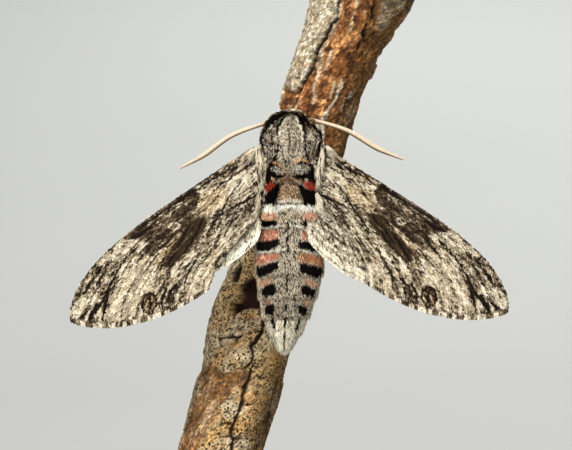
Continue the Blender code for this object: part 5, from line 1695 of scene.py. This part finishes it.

# %% [markdown]
# ## Bark
# Bark cracks and drops off by chance, but on the near side the photograph shows where. That side is drawn
# as outlines and lines; the far side gets the same kinds of damage from noise and from cells round
# scattered middles. Height and colour both read these masks, so a crack is deep in the same place where
# its colour carries painted shade.

# %% Where the bark is cracked, bare or crusted
# On the side that faces the camera, outlines and lines in the photograph's pixels: how soft an outline's edge
# is, or how wide a line is, and then its places as x, y, x, y and so on.
BARK_MARKS = {
    "hollow": (0.5, 254.7, 278, 246, 281, 238, 290, 239.7, 298, 238.5, 304, 230.7, 303.3, 231.3, 313.5, 233,
        322, 235.5, 314.7, 244, 309, 250, 308, 260, 310, 259, 298, 256, 286),
    "dark_hole": (0.5, 241, 263, 234.3, 269, 229, 277.6, 229.5, 282, 236.7, 282.8, 239, 276.4, 241.6, 269),
    "bare": (0.8, 206.8, 362.7, 212.7, 361.5, 217.5, 369.9, 223.5, 373.5, 231.9, 372.3, 241.5, 366.3, 248.7,
        369.9, 249.9, 377, 246.3, 389, 239, 389, 231.9, 391.4, 229.5, 396.2, 219.9, 405.8, 211.5, 420.2,
        203.2, 434.6, 196, 452, 176, 452, 183, 424, 190, 406, 198, 393.8, 200, 375.9),
    "crust": (0.8, 300, -8, 297, 19, 299, 31.6, 303, 38, 292, 53.6, 286, 67, 280, 84, 284.4, 88, 289, 86,
        291, 91, 295.8, 92, 298.7, 86, 302.5, 79.4, 308.3, 70.8, 314, 59.3, 314.6, 53.6, 323.6, 42, 328.4,
        29, 331.2, 26.8, 337, 23, 339, 16, 338.4, 6.7, 342, -8),
    "shelf": (0.8, 385, -8, 383, 0, 375.3, 27.8, 380, 31.6, 386.7, 29.7, 394.4, 19, 404, 5.7, 410, -8),
    "flag": (0.6, 344.6, 96, 350, 97, 352.6, 91.6, 354, 92, 356, 99.5, 350, 99.6),
    "streak": ((1.2, 2.4, 3.6, 6, 8), 343.7, 86, 338.9, 92.8, 335, 99.5, 331.2, 107, 327.4, 114, 324, 120,
        322, 132, 320, 146),
}
CRACKS = (
    ((2.6, 3.4, 3, 2), 260, 310, 263, 324.3, 260.7, 334, 256, 343.5, 251, 346, 254.7, 353, 252.3, 361.5,
     246.3, 366.3),
    ((2, 3.2, 3, 2), 253.5, 364, 250, 377, 244, 391.4, 242.7, 403.4, 239, 413, 234.3, 424, 232, 432, 232,
     442, 230.7, 454),
    ((1.2, 2.4, 2.2), 277, 380, 274, 396, 270.3, 407, 268, 421.4, 266.7, 440, 264, 454),
    ((1, 2.2, 1.6), 221, 339, 232, 338, 241, 335.7),
    (1.4, 221, 348, 220, 342, 222, 338),
    ((1.6, 0.8), 253.5, 366, 261, 367.5),
    ((1.2, 0.6), 246, 404.6, 253.5, 405.8),
    ((0.8, 1.8), 224.7, 422.6, 233, 424),
    ((1.8, 2.8, 1.6), 376, -4, 375.6, 10, 374.6, 24),
    ((2.2, 4.6, 2.4), 366.7, 26, 365.6, 34, 366.4, 41),
    ((1.2, 2.4, 1), 360, 44, 358, 50),
    ((1.4, 1.8, 1.4), 341, -2, 338.8, 8, 338.4, 20, 330, 27.5, 327, 36, 315, 54, 314, 62, 303, 80, 297, 93),
)
BARK_ROWS = 424
BARK_SIDES = 212


def cracked(spots, around, seed, jitter=0.95):
    """Cells round scattered middles: the gap between the nearest two, which is 0 on a crack, and a number
    for the cell. The first place is an angle share times its whole count of cells, and wraps there."""
    low = np.floor(spots).astype(np.int64)
    nearest, second, owner = np.full(len(spots), 9.0), np.full(len(spots), 9.0), np.zeros(len(spots))
    for shift in np.ndindex(3, 3):
        cell = low + np.array(shift) - 1
        wrapped = beside(cell[:, 0] % around, cell[:, 1])
        chance = beside(cell_value(wrapped, seed), cell_value(wrapped, seed + 1)) - 0.5
        gap = np.linalg.norm(spots - (cell + 0.5 + chance * jitter), axis=1)
        closer = gap < nearest
        second = np.where(closer, nearest, np.minimum(second, gap))
        owner = np.where(closer, cell_value(wrapped, seed + 2), owner)
        nearest = np.where(closer, gap, nearest)
    return second - nearest, owner

# %% Places on the bark
height, angle = np.meshgrid(
    np.linspace(0, PERCH["height"], BARK_ROWS),
    np.linspace(-math.pi, math.pi, BARK_SIDES, endpoint=False), indexing="ij",
)
height, angle = height.ravel(), angle.ravel()
degrees = np.degrees(angle)
spots = picture_place(perch_point(height, angle))
front = ramp(0.0, 0.3, np.cos(angle))
at = beside(np.cos(angle) * 8.0, np.sin(angle) * 8.0, height)
long_at = at * (1.0, 1.0, 0.28)
warp = wobble(at / 2.4, 71, 2)
ragged = spots + warp * 2.4 + wobble(at / 0.7, 74) * 1.3
upper = ramp(44.0, 56.0, height + 5 * noise(at / 6.0, 73))

# %% Plates and cracks
share = angle / (2 * math.pi) + 0.5
plates = beside(share * 11 + warp[:, 0] * 0.7, height / 8.5 + warp[:, 1] * 0.45)
plate_gap, plate = cracked(plates, 11, 81)
small_plates = beside(share * 30 + warp[:, 0], height / 2.6 + warp[:, 1] * 0.6)
small_gap, _ = cracked(small_plates, 30, 84)
crack = ramp(0.16, 0.03, plate_gap) * ramp(-0.35, 0.25, noise(at / 3.0, 79)) * (1 - 0.75 * front)
fine_crack = ramp(0.1, 0.0, small_gap) * ramp(0.0, 0.5, noise(at / 1.8, 78))
for mark in CRACKS:
    crack = np.maximum(crack, cover(ragged, "line", mark, 0.5) * front)

# %% Bare wood, crust and hollows
bare = np.maximum(
    cover(ragged, "patch", BARK_MARKS["bare"]) * front, ramp(0.16, 0.26, noise(at / 7.0, 76, 3)) * (1 - front)
)
bare = np.maximum(bare * (1 - upper), upper)
crust = np.maximum(*(cover(ragged, "patch", BARK_MARKS[name]) for name in ("crust", "shelf"))) * front
side_crust = ramp(0.1, 0.2, noise(at / 6.0, 77, 3) + 0.25 * np.exp(-(((degrees + 100) / 40) ** 2)))
crust = np.maximum(crust, side_crust * (1 - ramp(-0.1, 0.25, np.cos(angle)))) * ramp(40.0, 52.0, height)
streak = np.maximum(
    cover(ragged, "line", BARK_MARKS["streak"], 0.8), cover(ragged, "patch", BARK_MARKS["flag"])
) * front
hollow, hole = (cover(spots + warp, "patch", BARK_MARKS[name]) * front for name in ("hollow", "dark_hole"))
pits = np.maximum(hollow, hole)
print("bare wood on", round(float(bare.mean()) * 100), "% of the branch")

# %% Height of the bark
fine, grit = noise(at * 1.3, 91, 3), noise(at * 2.8, 92, 2)
fibres = noise(long_at / 0.8, 90, 3)
outer_relief = 0.5 + 0.12 * (plate - 0.5) + 0.1 * fine + 0.05 * grit
bare_relief = 0.3 * fibres + 0.22 * fine + 0.12 * grit + 0.25 * noise(at / 2.2, 80)
relief = outer_relief + (bare_relief - outer_relief) * bare
relief = relief + (0.75 + 0.16 * noise(at / 0.9, 88) + 0.08 * grit - relief) * crust
relief = relief + streak * 0.18 - 0.75 * crack - 0.14 * fine_crack - 1.5 * hollow - 1.0 * hole
ends = ramp(0.0, 1.2, height) * ramp(PERCH["height"], PERCH["height"] - 1.2, height)
bark_points = perch_point(height, angle, (relief - 0.35) * (0.35 + 0.65 * ends) * 0.9 - 0.1)
print("bark relief from", round(float(relief.min()), 2), "to", round(float(relief.max()), 2), "mm")

# %% Colour of the bark
BARK = {
    "tan": (0.34, 0.235, 0.115), "grey": (0.44, 0.36, 0.235), "ochre": (0.4, 0.235, 0.085),
    "dark": (0.013, 0.007, 0.003), "shade": (0.085, 0.045, 0.012), "rust": (0.17, 0.068, 0.02),
    "apricot": (0.4, 0.19, 0.07), "deep": (0.06, 0.022, 0.007), "worn": (0.22, 0.12, 0.048),
    "chips": (0.36, 0.25, 0.14), "lichen": (0.27, 0.22, 0.14), "lichen_pale": (0.42, 0.38, 0.29),
    "lichen_brown": (0.3, 0.2, 0.11), "cavity": (0.014, 0.005, 0.002), "cavity_brown": (0.11, 0.042, 0.015),
}
bark = layered(
    BARK, "tan",
    ("grey", ramp(-0.2, 0.35, noise(at / 3.4, 93, 3))),
    ("ochre", ramp(0.1, 0.4, noise(at / 2.6, 94, 2)) * 0.8),
    ("lichen", np.exp(-(((degrees + 78) / 20) ** 2)) * 0.8),
    ("dark", ramp(0.26, 0.4, noise(at / 0.42, 68)) * ramp(-0.3, 0.1, noise(at / 2.4, 67)) * 0.85),
)
chips = layered(BARK, "worn", ("chips", ramp(0.1, 0.35, noise(at / 0.8, 66, 2))))
wood = layered(
    BARK, "rust",
    ("apricot", ramp(0.05, 0.5, noise(at / 2.6, 99, 2) + 0.4 * fibres)),
    ("grey", ramp(0.2, 0.5, noise(long_at / 1.6, 89, 2)) * 0.75),
    ("deep", ramp(0.02, 0.3, noise(at / 1.1, 98, 3) - 0.25 * fibres) * 0.92),
    (chips, (1 - upper) * 0.5),
)
crust_tone = layered(
    BARK, "lichen",
    ("lichen_pale", ramp(-0.15, 0.25, noise(at / 0.8, 97, 2))),
    ("lichen_brown", ramp(0.2, 0.5, noise(at / 1.6, 86, 2)) * 0.7),
)
bark_tints = layered(
    BARK, bark,
    (wood, bare), (crust_tone, crust), ("lichen_pale", streak * 0.9),
    # Painted shade on the branch's +X side, which faces away from the main lamp.
    ("shade", ramp(0.35, 0.85, np.sin(angle)) * 0.7),
    # Painted shade: cracks and fine cracks are painted near black in their depths.
    ("dark", np.clip(1.15 * crack + 0.6 * fine_crack, 0, 1) * 0.98),
    # Painted shade: hollows and holes are painted near black, with some brown fibres.
    (layered(BARK, "cavity", ("cavity_brown", ramp(0.15, 0.7, fibres + 0.3 * grit) * 0.7)), pits),
)
crumbs = noise(at / 0.35, 70)
bark_tints = bark_tints * np.exp(0.55 * grit + 0.5 * crumbs + bare * (0.4 * grit + 0.25 * crumbs))[:, None]
bark_tints = np.clip(bark_tints, 0.001, 0.9)
bark_dots = (1 - bare) * (1 - crust) * (1 - crack) * (1 - pits) * ramp(-0.5, 0.0, noise(at / 2.0, 69))
print("mean colour of the bark:", bark_tints.mean(axis=0).round(3))

# %% Bark finish
bark_finish, tree, shader = new_finish("bark", Roughness=0.9, Specular_IOR_Level=0.15)
place = object_place(tree)
grain = noise_value(tree, place, 2600.0, 3.0, 0.65)
BARK_GREYS = ((0.3, (0.36, 0.33, 0.31)), (0.5, (0.97, 0.96, 0.95)), (0.7, (1.4, 1.36, 1.28)))
DOT_TONES = ((0.3, (0.03, 0.024, 0.018)), (0.4, (1.15, 1.13, 1.08)))
grey = colour_steps(tree, grain, BARK_GREYS)
cells = add_node(tree, "TexVoronoi", Scale=1750.0, Randomness=1.0)
tree.links.new(place, cells.inputs["Vector"])
dot_colour = colour_steps(tree, cells.outputs["Distance"], DOT_TONES)
dotted = add_node(tree, "Mix", data_type="RGBA", blend_type="MULTIPLY")
tree.links.new(add_node(tree, "Attribute", attribute_name="dots").outputs["Fac"], dotted.inputs[0])
tree.links.new(multiply_colour(tree, attribute_colour(tree), grey), dotted.inputs[6])
tree.links.new(dot_colour, dotted.inputs[7])
tree.links.new(dotted.outputs[2], shader.inputs["Base Color"])
bump_from(tree, shader, grain, 0.6, 0.00025)

# %% [markdown]
# ## Sawn ends
# A saw shows growth rings, a darker rim and fine scratches. The last ring of bark points is drawn in to the
# pith, so that the end closes the branch without a seam.

# %% Sawn ends
END_RINGS = 18
RING_GAP = 1.1


def sawn_end(row, upwards):
    """The ring of bark drawn in to the pith in steps; its colour goes round with the growth rings."""
    rim = bark_points.reshape(BARK_ROWS, BARK_SIDES, 3)[row]
    middle = rim.mean(axis=0)
    share = np.linspace(1, 0.0, END_RINGS)[:, None]
    points = middle + (rim - middle) * share[..., None]
    radius = np.linalg.norm(rim - middle, axis=1) * share
    rings = 0.5 + 0.5 * np.sin((radius + 0.35 * noise(points / 2.5, 101)) * 2 * math.pi / RING_GAP)
    wood = mixed((0.46, 0.32, 0.17), (0.27, 0.16, 0.075), rings**3)
    wood = mixed(wood, (0.1, 0.05, 0.02), ramp(0.9, 0.94, share) + 0 * radius)
    wood = mixed(wood, (0.2, 0.11, 0.05), ramp(1.2, 0.4, radius))
    saw = 0.05 * np.sin(points[..., 0] * 9.0 + 0.6 * points[..., 1]) * ramp(0.98, 0.9, share)
    points[..., 2] += (saw - 0.03) * (1 if upwards else -1)
    faces = grid_faces(END_RINGS, BARK_SIDES, True)
    return points.reshape(-1, 3), faces if upwards else faces[:, ::-1], wood.reshape(-1, 3)


bark_solid = (bark_points, grid_faces(BARK_ROWS, BARK_SIDES, True), bark_tints)
all_points, all_faces, all_tints = together([bark_solid, sawn_end(0, False), sawn_end(-1, True)])
branch = make_piece("branch", all_points, all_faces, bark_finish, "bark", all_tints)
dots = np.zeros(len(all_points), np.float32)
dots[: len(bark_dots)] = bark_dots
branch.data.attributes.new("dots", "FLOAT", "POINT").data.foreach_set("value", dots)
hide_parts("perch_branch")

# %% [markdown]
# ## Legs
# A leg is a row of hollow rods: a stout hip, a thigh, a shin with spurs at its end, and a foot of five
# short segments with two claws. The joints come from the same places as in the CAD, and the feet lie on the
# branch because they are placed on it by height and angle.

# %% Legs
# Root, hip and knee as (across, depth, along), then where ankle and toe lie on the branch as (along, angle),
# then the number of spurs.
LEGS = {
    "foreleg_left": (((-1.9, -5.2, 7.2), (-2.4, -2.2, 7.9), (-5.1, -1.3, 8)), ((9.2, -47), (12, -38)), 1),
    "foreleg_right": (((1.9, -5.2, 7.2), (2.5, -2.2, 7.9), (5.4, -1.9, 5.8)), ((8, -1), (10.7, -12)), 1),
    "midleg_left": (((-2.3, -4.8, 4.3), (-3, -2.2, 3.8), (-7.6, -3.4, 3.6)), ((0.5, -52), (-4.4, -50)), 2),
    "midleg_right": (((2.3, -4.8, 4.3), (3, -2.2, 3.8), (8.2, -3.6, 3.6)), ((-0.5, 30), (-5.4, 40)), 2),
    "hindleg_left": (((-2.2, -4.6, 1.2), (-2.9, -2, 0.4), (-7, -2.4, -3.4)), ((-9.5, -42), (-15, -22)), 4),
    "hindleg_right": (((2.2, -4.6, 1.2), (2.9, -2, 0.4), (7.2, -2.6, -3.6)), ((-9.5, 38), (-15.2, 52)), 4),
}
HIP_RADII = (0.95, 0.95, 0.7)
THIGH_RADII = (0.45, 0.72, 0.74, 0.62, 0.36)
SHIN_RADII = (0.3, 0.44, 0.5, 0.52, 0.4)
FOOT_RADII = (0.3, 0.34, 0.31, 0.31, 0.28, 0.22)
FOOT_CLEAR = 0.3
FOOT_SEGMENTS = 5
SPUR_LENGTH = 1.5
CLAW_LENGTH = 0.95
CLAW_TINT = (0.03, 0.015, 0.008)
leg_finish = coat_finish("leg_scales", 0.7, 0.12, 0.3)

# %% Parts of a leg


def limb(start, end, radii, shrink=0.06):
    """A straight rod with rounded ends: its radii, times the root of a half circle near each end."""
    share = np.linspace(0, 1, 46)
    ends = np.sqrt(np.clip(1 - (1 - np.minimum(share, 1 - share) / 0.08).clip(0) ** 2, 0.02, 1))
    return tube(start + (end - start) * share[:, None], (evenly(radii, share) - shrink) * ends, 18)[:2]


def leg_tint(points, rings=None):
    """Grey scales with darker blotches; rings, where given, pale at each segment's end."""
    if rings is None:
        paints = layered(PAINT, "stone", ("pale", 0.5 + 0.5 * noise(points / 0.8, 111)))
    else:
        paints = layered(PAINT, "umber", ("cream", ramp(0.72, 0.86, rings)))
    return dusted(paints, order_of(noise(points / 0.3, 112)))

# %% One whole leg


def make_leg(name, bones, foot, spurs):
    """Hip, thigh, shin, foot, spurs and claws, joined in one piece; gives the bones that scales grow on."""
    root, hip, knee = (np.array([x + axis_x(along), y, WAIST_Z + along]) for x, y, along in bones)
    share = np.linspace(0, 1, 60)
    along, degrees = (evenly(values, share) for values in zip(*foot))
    lift = FOOT_CLEAR + FOOT_RADII[0] + 0.2 * (1 - share) - 0.12
    foot_line = perch_point(WAIST_Z + along - PERCH["foot"][2], np.radians(degrees), lift)
    ankle, toe = foot_line[0], foot_line[-1]
    shin = unit(ankle - knee)
    rods = (
        (root, hip + (hip - root) * 0.12, HIP_RADII),
        (hip, knee, THIGH_RADII),
        (knee - shin * 0.2, ankle, SHIN_RADII),
    )
    bones = [(*limb(start, end, radii), start, end) for start, end, radii in rods]
    # Painted shade: hip, thigh and shin are darkened under their scale coat.
    parts = [(points, faces, leg_tint(points) * 0.7) for points, faces, _, _ in bones]
    swell = 0.84 + 0.26 * np.abs(np.sin((share * FOOT_SEGMENTS) % 1.0 * math.pi)) ** 0.5
    points, faces, where, _ = tube(foot_line, evenly(FOOT_RADII, share) * swell, 16)
    parts.append((points, faces, leg_tint(points, (where * FOOT_SEGMENTS) % 1.0)))
    aside = unit(np.cross(shin, [0.0, 0.0, 1.0]))
    for i in range(spurs):
        spur_root = knee + (ankle - knee) * (0.93 - 0.3 * (i // 2))
        spur = SPUR_LENGTH * (0.8 * shin + aside * (0.5 if i % 2 else -0.5))
        line = spur_root + spur * np.linspace(0, 1, 12)[:, None]
        points, faces, _, _ = tube(line, np.linspace(0.24, 0.05, 12), 10)
        parts.append((points, faces, leg_tint(points)))
    ahead = unit(toe - foot_line[-8])
    off_bark = unit(perch_point(WAIST_Z + along[-1] - PERCH["foot"][2], math.radians(degrees[-1]), 3.0) - toe)
    t = np.linspace(0, 1, 14)[:, None]
    for way in (-1, 1):
        reach = ahead * CLAW_LENGTH + np.cross(ahead, off_bark) * way * 0.45
        line = toe - ahead * 0.1 + reach * t + off_bark * (0.35 * t - 0.6 * t * t)
        points, faces, _, _ = tube(line, 0.13 * (1 - 0.85 * t[:, 0]), 8)
        parts.append((points, faces, np.tile(CLAW_TINT, (len(points), 1))))
    points, faces, tints = together(parts)
    made = make_piece(name.replace("leg", "_limb"), points, faces, leg_finish, "leg", tints)
    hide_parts(name)
    return bones

# %% Coat of the legs


def leg_coat(points, faces, start, end, order, seed, count=420):
    """Scales on one bone of a leg, pointing towards the foot."""
    corners, shares = scatter(points, faces, count, seed + order)
    root = read_at(points, corners, shares)
    out = unit(read_at(point_normals(points, faces), corners, shares))
    dice = np.random.default_rng(seed + 50 + order)
    way = unit(end - start)
    lie = flat_on(out, way + dice.normal(0, 0.15, (count, 3)))
    turn = np.mod(np.arctan2(out[:, 0], out[:, 1]) / (2 * math.pi) + 0.5, 1)
    share = ((root - start) @ way) / np.linalg.norm(end - start)
    return {
        "root": root - out * 0.02, "lie": lie, "out": out, "length": dice.uniform(0.45, 0.8, count),
        "lift": np.radians(dice.uniform(6, 22, count)), "bend": dice.normal(0, 0.1, count),
        "droop": np.full(count, 0.1), "width": dice.uniform(0.1, 0.18, count), "height": np.full(count, 0.06),
        "tint": leg_tint(root), "root_shade": 0.6,
        "chart": beside(turn * 0.9 + 0.05, 0.02 + (order + share) * 0.32),
    }


for place, (leg_name, leg) in enumerate(LEGS.items()):
    coats = [leg_coat(*bone, order, 700 + 10 * place) for order, bone in enumerate(make_leg(leg_name, *leg))]
    grow_coat("scales_" + leg_name, SCALE, joined(coats), leg_finish, "leg")

# %% [markdown]
# ## The stand
# A plain museum stand: a slab of dark stained wood with eased edges, and a short turned steel rod on a low
# foot that carries the branch. The slab's outline is a rounded rectangle; moving it in and up step by step
# round the edge's curve gives the whole surface.

# %% Base
BASE = {"width": 92.0, "depth": 56.0, "height": 7.0, "corner": 9.0, "edge": 0.8}


def rounded_outline(inset, count=56):
    """Corner arcs joined by straight sides, drawn in by inset; the arcs shrink with it."""
    corner = max(BASE["corner"] - inset, 0.0)
    half = np.array([BASE["width"], BASE["depth"]]) / 2 - BASE["corner"]
    turn = np.linspace(0, math.pi / 2, count)
    middles = ((1, 1), (-1, 1), (-1, -1), (1, -1))
    arcs = []
    for quarter, middle in enumerate(middles):
        angle = turn + quarter * math.pi / 2
        arcs.append(half * middle + corner * beside(np.cos(angle), np.sin(angle)))
    return np.concatenate(arcs)


def make_base():
    """Rows from the middle of the underside out, round the lower edge, up, round the upper edge and in."""
    edge, height = BASE["edge"], BASE["height"]
    bend = np.linspace(0, math.pi / 2, 9)
    rows = [(edge, 0.0, share) for share in np.linspace(0, 1, 12)[:-1]]
    rows += [(edge * (1 - math.sin(b)), edge * (1 - math.cos(b)), 1.0) for b in bend]
    rows += [(edge * (1 - math.cos(b)), height - edge * (1 - math.sin(b)), 1.0) for b in bend]
    rows += [(edge, height, share) for share in np.linspace(1, 0, 20)[1:]]
    outlines = np.array([rounded_outline(inset) * share for inset, _, share in rows])
    points = beside(outlines[..., 0], outlines[..., 1], np.array([z for _, z, _ in rows])[:, None])
    faces = grid_faces(*points.shape[:2], True)
    points = points.reshape(-1, 3)
    finish, tree, shader = new_finish(
        "stained_wood", Roughness=0.38, Specular_IOR_Level=0.5, Coat_Weight=0.25, Coat_Roughness=0.3
    )
    rings = noise_value(tree, object_place(tree, (1.0, 9.0, 9.0)), 42.0, 5.0, 0.6)
    grain = noise_value(tree, object_place(tree, (1.0, 26.0, 26.0)), 90.0, 3.0, 0.7)
    tones = ((0.3, (0.045, 0.02, 0.01)), (0.5, (0.11, 0.052, 0.024)), (0.68, (0.19, 0.095, 0.045)))
    pores = colour_steps(tree, grain, ((0.36, (0.35, 0.32, 0.3)), (0.5, (1.0, 1.0, 1.0))))
    wood = multiply_colour(tree, colour_steps(tree, rings, tones), pores, 0.8)
    tree.links.new(wood, shader.inputs["Base Color"])
    bump_from(tree, shader, grain, 0.12, 0.0001)
    made = make_piece("base_slab", points, outward_faces(points - (0, 0, height / 2), faces), finish, "base")
    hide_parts("stand_base")


make_base()

# %% Rod
ROD = {"radius": 2.4, "foot_radius": 5.5, "foot_height": 1.5, "length": 14.0, "gap": 0.3}


def make_rod(sides=96):
    """A profile of radius and height, turned about the rod's axis; its corners are eased."""
    foot, r, top = ROD["foot_radius"], ROD["radius"], ROD["length"]
    bend = np.linspace(0, math.pi / 2, 8)
    profile = [(0.0, 0.0), (foot - 0.3, 0.0)]
    profile += [(foot - 0.4 * (1 - math.cos(b)), ROD["foot_height"] - 0.4 * (1 - math.sin(b))) for b in bend]
    profile += [(r + 0.8 * (1 - math.sin(b)), ROD["foot_height"] + 0.8 * (1 - math.cos(b))) for b in bend]
    profile += [(r, z) for z in np.linspace(3.0, top - 0.3, 30)]
    profile += [(r - 0.2, top), (0.0, top)]
    radius, height = np.array(profile).T[:, :, None]
    turn = np.linspace(0, 2 * math.pi, sides, endpoint=False)
    axis = np.array([*PERCH["foot"][:2], BASE["height"] + ROD["gap"]])
    turned = beside(radius * np.cos(turn), radius * np.sin(turn), height).reshape(-1, 3)
    faces = outward_faces(turned, grid_faces(len(profile), sides, True))
    finish, tree, shader = new_finish("turned_steel", Metallic=1.0, Roughness=0.3)
    lathe = noise_value(tree, object_place(tree, (1.0, 1.0, 60.0)), 120.0, 4.0, 0.6)
    steel = colour_steps(tree, lathe, ((0.3, (0.5, 0.49, 0.47)), (0.7, (0.66, 0.65, 0.63))))
    tree.links.new(steel, shader.inputs["Base Color"])
    bump_from(tree, shader, lathe, 0.15, 0.00005)
    made = make_piece("steel_rod", axis + turned, faces, finish, "rod")
    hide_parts("stand_rod")


make_rod()
